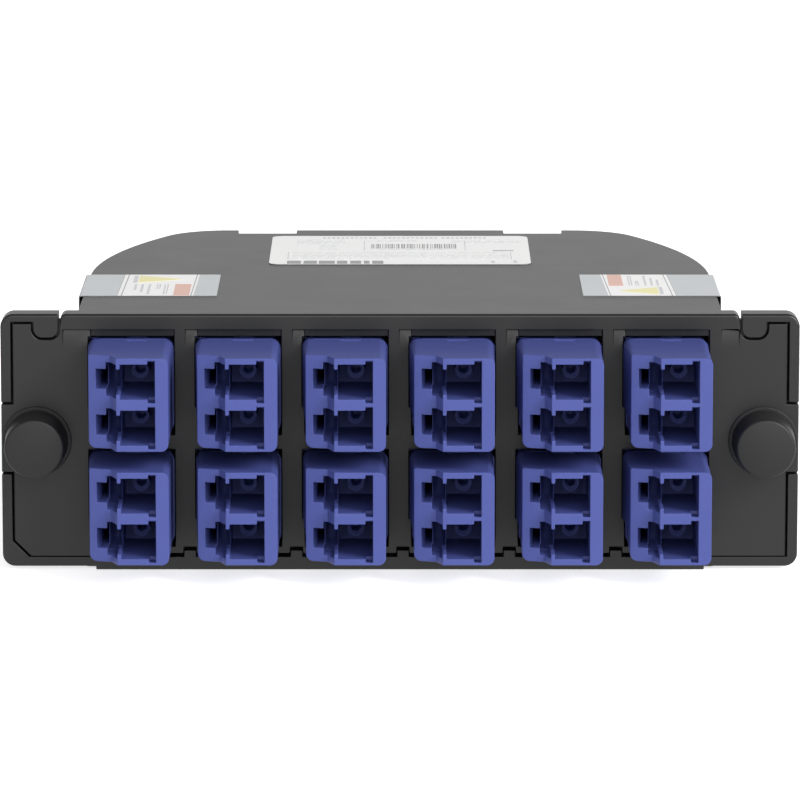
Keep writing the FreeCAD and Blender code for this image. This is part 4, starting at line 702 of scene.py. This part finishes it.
@dataclass
class LcAdapters:
    """Twelve LC duplex adapters that share one mesh.

    A thin rim stands round each ceramic sleeve's holder, and a crush rib fills most of the clearance
    between the adapter and its window in the panel.
    """

    columns: int = 6
    port_offset_mm: float = 1.3
    port_pitch_mm: float = 6.25
    holder_depth_mm: float = 9.9
    rim_radius_mm: float = 1.16
    rim_width_mm: float = 0.12
    rim_rise_mm: float = 0.3
    rim_sunk_mm: float = 0.05
    dish_radius_mm: float = 0.85
    dish_mm: float = 1.1
    dish_spare_mm: float = 0.12
    channel_wall_mm: float = 6.0
    channel_deeper_mm: float = 5.6
    body_half_mm: tuple[float, float] = (5.4, 6.35)
    body_round_mm: float = 1.0
    rib_proud_mm: tuple[float, float] = (0.2, 0.04)
    rib_sunk_mm: float = 0.2
    rib_round_more_mm: float = 0.3
    rib_depth_mm: tuple[float, float] = (15.3, 16.6)
    cheek_depth_mm: float = 2.3
    cheek_spare_mm: float = 0.3
    cheek_edge_mm: float = -2.35
    cheek_slope: float = 0.3
    edges: SoftEdges = SoftEdges(radius_mm=0.1)

    def node(self, row: Row, column: int) -> str:
        """Name of the adapter's CAD node."""
        return f"lc_adapter_{row.value}_{column}"

    def shared_mesh(self) -> tuple[bpy.types.Mesh, Vector]:
        """Make the one mesh that all adapters share.

        Returns:
            The mesh, and the lowest corner of the node that it was taken from.
        """
        first = self.node(Row.LOWER, 1)
        low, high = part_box(first)
        mesh = soft_copy(first, self.edges)
        work = bmesh.new()
        work.from_mesh(mesh)
        centre = Vector(((low.x + high.x) / 2, low.y, (low.z + high.z) / 2))
        wall = front_faces(work, low.y + self.channel_wall_mm * MM)
        bmesh.ops.inset_region(work, faces=wall, thickness=0.0, depth=-self.channel_deeper_mm * MM)
        self.slope_cheek(work, centre)
        for port in (-1, 1):
            upward = port * self.port_pitch_mm / 2
            axis = centre + Vector((self.port_offset_mm, self.holder_depth_mm, upward)) * MM
            self.dish(work, axis)
            add_sleeve(
                work,
                axis,
                self.circle(self.rim_radius_mm),
                self.circle(self.rim_radius_mm - self.rim_width_mm),
                (-self.rim_rise_mm, self.rim_sunk_mm),
            )
        outer = [half + proud for half, proud in zip(self.body_half_mm, self.rib_proud_mm)]
        inner = [half - self.rib_sunk_mm for half in self.body_half_mm]
        add_sleeve(
            work,
            centre,
            self.rounded_outline(outer, self.body_round_mm + self.rib_round_more_mm),
            self.rounded_outline(inner, self.body_round_mm),
            self.rib_depth_mm,
        )
        work.to_mesh(mesh)
        work.free()
        mesh.set_sharp_from_angle(angle=math.radians(self.edges.smooth_below))
        return mesh, low

    def slope_cheek(self, work: bmesh.types.BMesh, centre: Vector) -> None:
        """Let the face beside the latch channels, which sits further back, fall away to its outer side.

        Args:
            work: the adapter's mesh.
            centre: middle of the adapter's front, in metres.
        """
        reach = (self.cheek_depth_mm + self.cheek_spare_mm) * MM
        for vert in work.verts:
            across = (self.cheek_edge_mm * MM + centre.x) - vert.co.x
            if across > 0 and vert.co.y - centre.y < reach:
                vert.co.y += self.cheek_slope * across

    def dish(self, work: bmesh.types.BMesh, axis: Vector) -> None:
        """Draw the mouth of a sleeve's bore inwards, so that the holder's face is dished.

        Args:
            work: the adapter's mesh.
            axis: middle of the holder's face, in metres.
        """
        for vert in work.verts:
            offset = vert.co - axis
            in_mouth = math.hypot(offset.x, offset.z) < self.dish_radius_mm * MM
            if in_mouth and abs(offset.y) < self.dish_spare_mm * MM:
                vert.co.y += self.dish_mm * MM

    @staticmethod
    def circle(radius_mm: float, steps: int = 40) -> list[tuple[float, float]]:
        """Points of a circle.

        Args:
            radius_mm: its radius.
            steps: number of points.

        Returns:
            Points in order, in millimetres.
        """
        turn = math.tau / steps
        return [(radius_mm * math.cos(i * turn), radius_mm * math.sin(i * turn)) for i in range(steps)]

    @staticmethod
    def rounded_outline(
        half_mm: Sequence[float], round_mm: float, steps: int = 6
    ) -> list[tuple[float, float]]:
        """Points of a rectangle with round corners.

        Args:
            half_mm: half its width and half its height.
            round_mm: radius of its corners.
            steps: facets in each corner.

        Returns:
            Points in order, in millimetres.
        """
        points = []
        for corner, (x, z) in enumerate(((1, 1), (-1, 1), (-1, -1), (1, -1))):
            for step in range(steps + 1):
                angle = math.pi / 2 * (corner + step / steps)
                across = x * (half_mm[0] - round_mm) + round_mm * math.cos(angle)
                upward = z * (half_mm[1] - round_mm) + round_mm * math.sin(angle)
                points.append((across, upward))
        return points

    def build(self) -> None:
        """Place the adapters, each over its CAD node."""
        mesh, corner = self.shared_mesh()
        for row in Row:
            for column in range(1, self.columns + 1):
                node = self.node(row, column)
                piece = link_object(f"{node}_body", mesh, [Finish.ADAPTER_PBT])
                piece.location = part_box(node)[0] - corner
                settle(piece, node, [node])


@dataclass
class MpoAdapters:
    """The two adapters in the rear wall."""

    edges: SoftEdges = SoftEdges(radius_mm=0.15)

    def build(self) -> None:
        """Build both adapters."""
        for side in Side:
            node = f"mpo_adapter_{side.value}"
            piece = link_object(f"{node}_body", soft_copy(node, self.edges), [Finish.BLACK_PBT])
            settle(piece, node, [node])


# ---------------------------------------------------------------- plungers


@dataclass
class Plungers:
    """Push-pull plungers in their split grommets; both sides share their meshes."""

    crown_mm: float = 0.3
    crown_rings: int = 6
    crown_radius_mm: float = 3.6
    crown_flat_rings: float = 0.5
    edges: SoftEdges = SoftEdges(radius_mm=0.16, segments=3)

    def build(self) -> None:
        """Build both plungers and both grommets."""
        for kind in ("grommet", "plunger"):
            first = f"{kind}_{Side.LEFT.value}"
            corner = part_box(first)[0]
            mesh = soft_copy(first, self.edges)
            if kind == "plunger":
                self.crown(mesh, corner.y)
            for side in Side:
                node = f"{kind}_{side.value}"
                piece = link_object(f"{node}_turned", mesh, [Finish.BLACK_PBT])
                piece.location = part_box(node)[0] - corner
                settle(piece, node, [node])

    def crown(self, mesh: bpy.types.Mesh, depth: float) -> None:
        """Give the knob's face a shallow crown, ring by ring.

        Args:
            mesh: the plunger's mesh, changed in place.
            depth: y of the knob's face, in metres.
        """
        work = bmesh.new()
        work.from_mesh(mesh)
        face = front_faces(work, depth)
        step = 1 / (self.crown_rings + self.crown_flat_rings)
        height = 0.0
        for ring in range(1, self.crown_rings + 1):
            rise = self.crown_mm * (1 - (1 - ring * step) ** 2)
            bmesh.ops.inset_region(
                work,
                faces=face,
                thickness=self.crown_radius_mm * step * MM,
                depth=(rise - height) * MM,
                use_even_offset=True,
            )
            height = rise
        for each in work.faces:
            each.smooth = True
        work.to_mesh(mesh)
        work.free()


# ---------------------------------------------------------------- harness


@dataclass
class Harness:
    """Plugs, fan-outs and fibres inside the closed housing, which stay as the CAD has them."""

    finishes: dict[str, Finish] = field(
        default_factory=lambda: {
            "lc_plugs": Finish.ADAPTER_PBT,
            "mpo_plug": Finish.AQUA_PBT,
            "mt_ferrule": Finish.FERRULE_PPS,
            "fanout_block": Finish.BLACK_PBT,
            "trunk_unit": Finish.AQUA_JACKET,
            "fibres": Finish.AQUA_JACKET,
        }
    )

    def build(self) -> None:
        """Dress every inner node."""
        for name in frame["nodes"]:
            for start, finish in self.finishes.items():
                if name.startswith(start):
                    dress(name, finish)


# ---------------------------------------------------------------- label and tapes


@dataclass(frozen=True)
class InkField:
    """Upright rectangle of ink on a film.

    Attributes:
        left: lower end across the film, in millimetres.
        front: lower end along the film.
        right: higher end across the film.
        rear: higher end along the film.
    """

    left: float
    front: float
    right: float
    rear: float

    def box(self, film: Vector, under_mm: float = 0.01, over_mm: float = 0.015) -> tuple[Vector, Vector]:
        """Corners of the ink's thin block.

        Args:
            film: point of the film's upper face that the rectangle is measured from.
            under_mm: how far it reaches into the film.
            over_mm: how far it stands on the film.

        Returns:
            Lowest and highest corner, in metres.
        """
        low = film + Vector((self.left, self.front, -under_mm)) * MM
        high = film + Vector((self.right, self.rear, over_mm)) * MM
        return low, high


@dataclass
class ProductLabel:
    """White label on the cover: plain rules, a strip of bars and empty boxes in place of any wording."""

    seed: int = 7
    title_words: tuple[tuple[float, float], ...] = ((-11.4, -3.7), (-2.4, 5.2), (6.2, 12.7))
    title_rows: tuple[float, float] = (24.9, 26.3)
    bead_mm: float = 0.42
    bead_pitch_mm: float = 0.68
    bars: tuple[float, float, float, float] = (-4.2, 15.1, 8.1, 19.6)
    bar_widths: tuple[float, ...] = (0.1, 0.14, 0.22)
    bar_gaps: tuple[float, ...] = (0.12, 0.16, 0.26)
    line_mm: float = 0.12
    separators: tuple[float, ...] = (-5.3, 9.5)
    separator_rows: tuple[float, float] = (12.8, 23.0)
    row_pitch_mm: float = 1.25
    rule_height_mm: float = 0.45
    rule_lengths: tuple[float, float] = (0.7, 2.4)
    rule_gap_mm: float = 0.4
    least_rule_mm: float = 0.5
    small_rules: tuple[tuple[float, float, float, int], ...] = (
        (-15.2, -8.0, 23.6, 4),
        (-4.9, 2.6, 23.4, 2),
        (7.6, 17.6, 23.6, 3),
        (-11.8, -9.2, 18.3, 4),
        (-3.0, 6.6, 14.2, 1),
        (-15.6, 15.8, 11.0, 5),
    )
    marks: tuple[tuple[float, float], ...] = (
        (-16.3, -14.3),
        (-13.9, -12.0),
        (-11.7, -9.4),
        (-9.1, -7.6),
        (-7.2, -5.6),
        (-5.2, -4.4),
        (-4.0, -2.4),
    )
    mark_rows: tuple[float, float] = (0.3, 3.2)
    short_rule: InkField = InkField(13.6, 12.7, 16.6, 13.4)
    end_marks: tuple[InkField, ...] = (InkField(13.2, 1.0, 13.7, 3.4), InkField(16.4, 1.0, 16.9, 3.4))
    frame_box: tuple[float, float, float, float] = (-16.3, 4.8, 16.2, 11.7)

    def build(self) -> None:
        """Dress the label and lay its ink on it."""
        node = "product_label"
        mesh = frame["nodes"][node].data.copy()
        piece = link_object(f"{node}_film", mesh, [Finish.WHITE_FILM, Finish.FILM_EDGE])
        for face in mesh.polygons:
            face.material_index = 0 if face.normal.z > SQUARE_ON else 1
        settle(piece, node, [node])
        low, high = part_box(node)
        film = Vector(((low.x + high.x) / 2, low.y, high.z))
        for name, finish, fields in (
            ("label_dark_ink", Finish.GREY_INK, self.dark_fields()),
            ("label_pale_ink", Finish.PALE_INK, self.pale_fields()),
        ):
            mesh = box_mesh(name, [each.box(film) for each in fields])
            settle(link_object(name, mesh, [finish]), node)

    def dark_fields(self) -> list[InkField]:
        """Strip of bars, the bold marks and the short rule.

        Returns:
            Fields in the darker ink.
        """
        chance = random.Random(self.seed)
        left, front, right, rear = self.bars
        fields = [InkField(a, self.mark_rows[0], b, self.mark_rows[1]) for a, b in self.marks]
        fields.append(self.short_rule)
        place = left
        while place < right:
            width = chance.choice(self.bar_widths)
            fields.append(InkField(place, front, place + width, rear))
            place += width + chance.choice(self.bar_gaps)
        return fields

    def pale_fields(self) -> list[InkField]:
        """Title beads, rules, separators and the empty box.

        Returns:
            Fields in the paler ink.
        """
        chance = random.Random(self.seed + 1)
        fields = []
        for left, right in self.title_words:
            place = left
            while place < right:
                fields.append(InkField(place, self.title_rows[0], place + self.bead_mm, self.title_rows[1]))
                place += self.bead_pitch_mm
        for left, right, rear, rows in self.small_rules:
            for row in range(rows):
                fields += self.rule_row(chance, left, right, rear - self.row_pitch_mm * row)
        low, high = self.separator_rows
        fields += [InkField(place, low, place + self.line_mm, high) for place in self.separators]
        left, front, right, rear = self.frame_box
        fields.append(InkField(left, front, left + self.line_mm, rear))
        fields.append(InkField(right - self.line_mm, front, right, rear))
        fields.append(InkField(left, front, right, front + self.line_mm))
        fields += self.end_marks
        return fields

    def rule_row(self, chance: random.Random, left: float, right: float, rear: float) -> list[InkField]:
        """Row of short rules with gaps, as a line of small print looks from afar.

        Args:
            chance: seeded source of the lengths.
            left: where the row starts.
            right: where it ends.
            rear: rear edge of the rules.

        Returns:
            The row's fields.
        """
        fields = []
        place = left
        while place < right - self.least_rule_mm:
            length = min(chance.uniform(*self.rule_lengths), right - place)
            fields.append(InkField(place, rear - self.rule_height_mm, place + length, rear))
            place += length + self.rule_gap_mm
        return fields


@dataclass
class TamperTapes:
    """Tapes over the cover's snap catches.

    The left tape is the right one turned half round about the upright, apart from how its print sits. The
    film lies on the cover, turns down over the catch a little clear of the wall and comes back to the wall
    below it. Across lengths are measured from the middle of the cassette.
    """

    film_mm: float = 0.12
    fold_mm: float = 0.3
    proud_mm: float = 0.5
    fold_steps: int = 6
    smooth_below: float = 40.0
    print_middle_mm: float = 33.91
    # How the print sits on each tape: share of its width, shift outwards and slant, in millimetres
    print_fits: dict[Side, tuple[float, float, float]] = field(
        default_factory=lambda: {Side.LEFT: (1.0, 0.0, 0.15), Side.RIGHT: (0.89, -0.45, -0.27)}
    )
    hang: tuple[tuple[float, float], ...] = ((0.5, 3.4), (0.38, 4.6), (0.16, 5.9), (0.0, 7.2))
    fields: tuple[tuple[float, Finish], ...] = (
        (28.62, Finish.GREY_FILM),
        (28.9, Finish.WHITE_FILM),
        (29.04, Finish.GREY_INK),
        (38.57, Finish.WHITE_FILM),
        (38.71, Finish.GREY_INK),
        (39.2, Finish.WHITE_FILM),
        (39.28, Finish.GREY_INK),
    )
    finishes: tuple[Finish, ...] = (Finish.GREY_FILM, Finish.WHITE_FILM, Finish.GREY_INK, Finish.FILM_EDGE)
    inks: tuple[tuple[Finish, tuple[InkField, ...]], ...] = (
        (Finish.YELLOW_INK, (InkField(31.0, 1.1, 36.9, 7.6),)),
        (Finish.SALMON_INK, (InkField(29.35, 8.8, 31.6, 19.0),)),
        (
            Finish.PALE_INK,
            (
                InkField(37.1, 1.0, 37.65, 7.8),
                InkField(36.95, 9.0, 37.3, 14.4),
                InkField(36.0, 9.0, 36.35, 16.1),
                InkField(35.0, 9.0, 35.35, 18.0),
                InkField(33.95, 9.0, 34.15, 13.4),
                InkField(33.6, 9.0, 33.8, 13.4),
                InkField(32.9, 9.2, 33.1, 17.8),
                InkField(32.5, 9.2, 32.7, 17.8),
            ),
        ),
    )

    def build(self) -> None:
        """Build both tapes with their fields of ink."""
        low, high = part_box("tamper_tape_right")
        middle = Vector((0, (low.y + high.y) / 2, 0))
        turn = Matrix.Translation(middle) @ Matrix.Rotation(math.pi, 4, "Z") @ Matrix.Translation(-middle)
        film = Vector((0, low.y, high.z))
        for side in Side:
            node = f"tamper_tape_{side.value}"
            place = turn if side is Side.LEFT else Matrix.Identity(4)
            piece = link_object(f"{node}_film", self.sheet(side, low, high), self.finishes)
            piece.matrix_world = place
            settle(piece, node, [node])
            for finish, fields in self.inks:
                name = f"{node}_{finish.value.name}"
                fitted = [
                    InkField(self.fit(side, each.left), each.front, self.fit(side, each.right), each.rear)
                    for each in fields
                ]
                mesh = box_mesh(name, [each.box(film) for each in fitted])
                if finish is Finish.YELLOW_INK:
                    self.taper(mesh)
                ink = link_object(name, mesh, [finish])
                ink.matrix_world = place
                settle(ink, node)

    def fit(self, side: Side, across: float) -> float:
        """Where a point of the print lies on one side's tape, in millimetres."""
        share, shift, _ = self.print_fits[side]
        return self.print_middle_mm + (across - self.print_middle_mm) * share + shift

    @staticmethod
    def taper(mesh: bpy.types.Mesh, left_over: float = 0.08, near_mm: float = 0.01) -> None:
        """Draw the inner end of a field in to a point, so that it becomes a wedge.

        Args:
            mesh: the field's block, changed in place.
            left_over: share of the height that stays at the point.
            near_mm: how close to the inner end a corner has to be to count as part of it.
        """
        low = min(vert.co.x for vert in mesh.vertices)
        middle = sum(vert.co.y for vert in mesh.vertices) / len(mesh.vertices)
        for vert in mesh.vertices:
            if vert.co.x - low < near_mm * MM:
                vert.co.y = middle + (vert.co.y - middle) * left_over

    def path(self, side: Side, low: Vector, high: Vector) -> list[tuple[float, float, Finish]]:
        """Run of the film's outer face, from its inner end on the cover to its lower end on the wall.

        Args:
            side: side whose print it carries.
            low: lowest corner of the tape's node.
            high: its highest corner.

        Returns:
            For each point x and z in metres, and the finish of the film up to it.
        """
        wall, top = high.x, high.z
        points = [(low.x, top, Finish.GREY_FILM)]
        points += [(self.fit(side, across) * MM, top, finish) for across, finish in self.fields]
        edge = wall + self.proud_mm * MM
        for step in range(self.fold_steps + 1):
            angle = math.pi / 2 * step / self.fold_steps
            x = edge - self.fold_mm * MM * (1 - math.sin(angle))
            z = top - self.fold_mm * MM * (1 - math.cos(angle))
            points.append((x, z, Finish.GREY_FILM))
        points += [(wall + out * MM, top - down * MM, Finish.GREY_FILM) for out, down in self.hang]
        points.append((wall, low.z, Finish.GREY_FILM))
        return points

    def inner_face(self, points: Sequence[tuple[float, float, Finish]]) -> list[tuple[float, float]]:
        """Run of the film's inner face, one film thickness below the outer one.

        Args:
            points: run of the outer face.

        Returns:
            x and z of each point, in metres.
        """
        run = [Vector((x, z)) for x, z, _ in points]
        inner = []
        for i, point in enumerate(run):
            along = (run[min(i + 1, len(run) - 1)] - run[max(i - 1, 0)]).normalized()
            below = point + Vector((along.y, -along.x)) * self.film_mm * MM
            inner.append((below.x, below.y))
        return inner

    def sheet(self, side: Side, low: Vector, high: Vector) -> bpy.types.Mesh:
        """Closed film of a tape, as it lies on the right side.

        Args:
            side: side whose print it carries.
            low: lowest corner of the tape's node.
            high: its highest corner.

        Returns:
            Mesh with a material index for each field.
        """
        points = self.path(side, low, high)
        slant = self.print_fits[side][2]
        printed = range(1, len(self.fields) + 1)
        outer = [
            (x + (end * slant * MM if i in printed else 0), y, z)
            for i, (x, z, _) in enumerate(points)
            for end, y in ((-1, low.y), (1, high.y))
        ]
        inner = [(x, y, z) for x, z in self.inner_face(points) for y in (low.y, high.y)]
        under = len(outer)
        last = under - 2
        cut = self.finishes.index(Finish.FILM_EDGE)
        faces = []
        indices = []
        for i, (_, _, finish) in enumerate(points[1:]):
            a = 2 * i
            faces += [
                (a, a + 2, a + 3, a + 1),
                (under + a, under + a + 1, under + a + 3, under + a + 2),
                (a, under + a, under + a + 2, a + 2),
                (a + 1, a + 3, under + a + 3, under + a + 1),
            ]
            indices += [self.finishes.index(finish)] + [cut] * 3
        faces += [(0, 1, under + 1, under), (last, under + last, under + last + 1, last + 1)]
        indices += [cut, cut]
        mesh = bpy.data.meshes.new(f"tamper_tape_film_{side.value}")
        mesh.from_pydata(outer + inner, [], faces)
        for face, index in zip(mesh.polygons, indices):
            face.material_index = index
            face.use_smooth = True
        mesh.set_sharp_from_angle(angle=math.radians(self.smooth_below))
        return mesh


# ---------------------------------------------------------------- studio


@dataclass(frozen=True)
class SoftLamp:
    """Square area lamp.

    Attributes:
        name: the lamp's name.
        place: its position, in metres.
        side: its side, in metres.
        watts: its power.
    """

    name: str
    place: tuple[float, float, float]
    side: float
    watts: float


@dataclass
class Studio:
    """Pale floor, soft lamps and the camera in front, slightly above."""

    elevation: float = 10.0
    distance_mm: float = 794.1
    aim_height_mm: float = 23.58
    lens_mm: float = 262.35
    sensor_mm: float = 36.0
    near_clip_mm: float = 10.0
    lamps: tuple[SoftLamp, ...] = (
        SoftLamp("front_softbox", (0.1, -1.25, 0.5), 0.7, 3.5),
        SoftLamp("right_softbox", (1.05, -0.95, 0.9), 0.8, 25.0),
    )
    lamp_aim: tuple[float, float, float] = (0.0, 0.0, 0.02)
    floor_mm: float = 6000.0
    floor_drop_mm: float = 0.02
    floor_colour: str = "#E8E8E8"
    floor_glow: float = 0.72
    floor_mirrored: float = 1.3
    depth_ends: tuple[float, float] = (-0.3, 0.3)
    front_level: float = 1.36
    back_level: float = 0.88
    back_lean: float = 0.27
    ceiling_ends: tuple[float, float] = (0.4, 0.85)
    ceiling_share: float = 0.17
    side_ends: tuple[float, float] = (-0.7, 0.7)
    left_share: float = 0.75
    right_share: float = 1.25

    def build(self) -> None:
        """Set up everything that isn't the object."""
        bpy.context.scene.view_settings.view_transform = "Standard"
        self.build_world()
        self.build_floor()
        self.build_lamps()
        self.build_camera()

    def build_world(self) -> None:
        """White room, dimmer at the left and overhead; the camera itself sees plain white past the object."""
        world = bpy.data.worlds.new("white_room")
        world.use_nodes = True
        tree = world.node_tree
        tree.nodes.clear()
        direction = add_node(tree, "ShaderNodeTexCoord").outputs["Generated"]
        axes = add_node(tree, "ShaderNodeSeparateXYZ", inputs={0: direction})
        across, depth, height = axes.outputs
        smooth = "SMOOTHSTEP"
        lean = map_range(tree, depth, self.depth_ends, (0.0, self.back_lean), smooth)
        raised = add_node(tree, "ShaderNodeMath", {"operation": "ADD"}, {0: height, 1: lean}).outputs[0]
        level = map_range(tree, depth, self.depth_ends, (self.front_level, self.back_level), smooth)
        for share in (
            map_range(tree, across, self.side_ends, (self.left_share, self.right_share), smooth),
            map_range(tree, raised, self.ceiling_ends, (1.0, self.ceiling_share), smooth),
        ):
            product = add_node(tree, "ShaderNodeMath", {"operation": "MULTIPLY"}, {0: level, 1: share})
            level = product.outputs[0]
        path = add_node(tree, "ShaderNodeLightPath")
        room = add_node(tree, "ShaderNodeBackground", inputs={"Color": WHITE, "Strength": level})
        white = add_node(tree, "ShaderNodeBackground", inputs={"Color": WHITE, "Strength": 1.0})
        mix = mix_shaders(tree, path.outputs["Is Camera Ray"], room, white)
        add_node(tree, "ShaderNodeOutputWorld", inputs={"Surface": mix.outputs[0]})
        bpy.context.scene.world = world

    def build_floor(self) -> None:
        """White floor under the object, marked as stage."""
        mesh = bpy.data.meshes.new("floor")
        half = self.floor_mm * MM / 2
        corners = [(-half, -half, 0), (half, -half, 0), (half, half, 0), (-half, half, 0)]
        mesh.from_pydata(corners, [], [(0, 1, 2, 3)])
        material = empty_material("white_paper_floor")
        tree = material.node_tree
        path = add_node(tree, "ShaderNodeLightPath")
        paper = add_node(tree, "ShaderNodeBsdfDiffuse", inputs={"Color": linear(self.floor_colour)})
        glow = add_node(tree, "ShaderNodeEmission", inputs={"Color": WHITE, "Strength": self.floor_glow})
        both = add_node(tree, "ShaderNodeAddShader", inputs={0: paper.outputs[0], 1: glow.outputs[0]})
        mirrored = add_node(
            tree, "ShaderNodeEmission", inputs={"Color": WHITE, "Strength": self.floor_mirrored}
        )
        seen = mix_shaders(tree, path.outputs["Is Camera Ray"], paper, both)
        mix = mix_shaders(tree, path.outputs["Is Glossy Ray"], seen, mirrored)
        add_node(tree, "ShaderNodeOutputMaterial", inputs={"Surface": mix.outputs[0]})
        mesh.materials.append(material)
        floor = bpy.data.objects.new("floor", mesh)
        bpy.context.scene.collection.objects.link(floor)
        low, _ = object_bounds()
        floor.location.z = low[2] - self.floor_drop_mm * MM
        floor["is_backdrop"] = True

    def build_lamps(self) -> None:
        """Soft lamp beside the camera and another one further to the right and higher."""
        for lamp in self.lamps:
            light = bpy.data.lights.new(lamp.name, "AREA")
            light.shape = "SQUARE"
            light.size = lamp.side
            light.energy = lamp.watts
            stand = bpy.data.objects.new(lamp.name, light)
            stand.location = lamp.place
            facing = Vector(self.lamp_aim) - Vector(lamp.place)
            stand.rotation_euler = facing.to_track_quat("-Z", "Y").to_euler()
            bpy.context.scene.collection.objects.link(stand)

    def build_camera(self) -> None:
        """Camera aimed at the panel's front face, in line with the middle."""
        panel_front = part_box("front_panel")[0].y
        aim = Vector((0, panel_front, self.aim_height_mm * MM))
        tilt = math.radians(self.elevation)
        back = Vector((0, -math.cos(tilt), math.sin(tilt))) * self.distance_mm * MM
        lens = bpy.data.cameras.new("camera")
        lens.lens = self.lens_mm
        lens.sensor_width = self.sensor_mm
        lens.clip_start = self.near_clip_mm * MM
        camera = bpy.data.objects.new("camera", lens)
        camera.location = aim + back
        camera.rotation_euler = (-back).to_track_quat("-Z", "Y").to_euler()
        bpy.context.scene.collection.objects.link(camera)
        bpy.context.scene.camera = camera


# ---------------------------------------------------------------- whole


def main() -> None:
    """Build every sub-assembly in order, logging the name of each as it starts."""
    logging.basicConfig(level=logging.INFO, format="%(name)s: %(message)s")
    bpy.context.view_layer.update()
    kinds = (Housing, LcAdapters, MpoAdapters, Plungers, Harness, ProductLabel, TamperTapes, Studio)
    for kind in kinds:
        LOG.info("building %s", kind.__name__)
        kind().build()


if __name__ == "__main__":
    main()
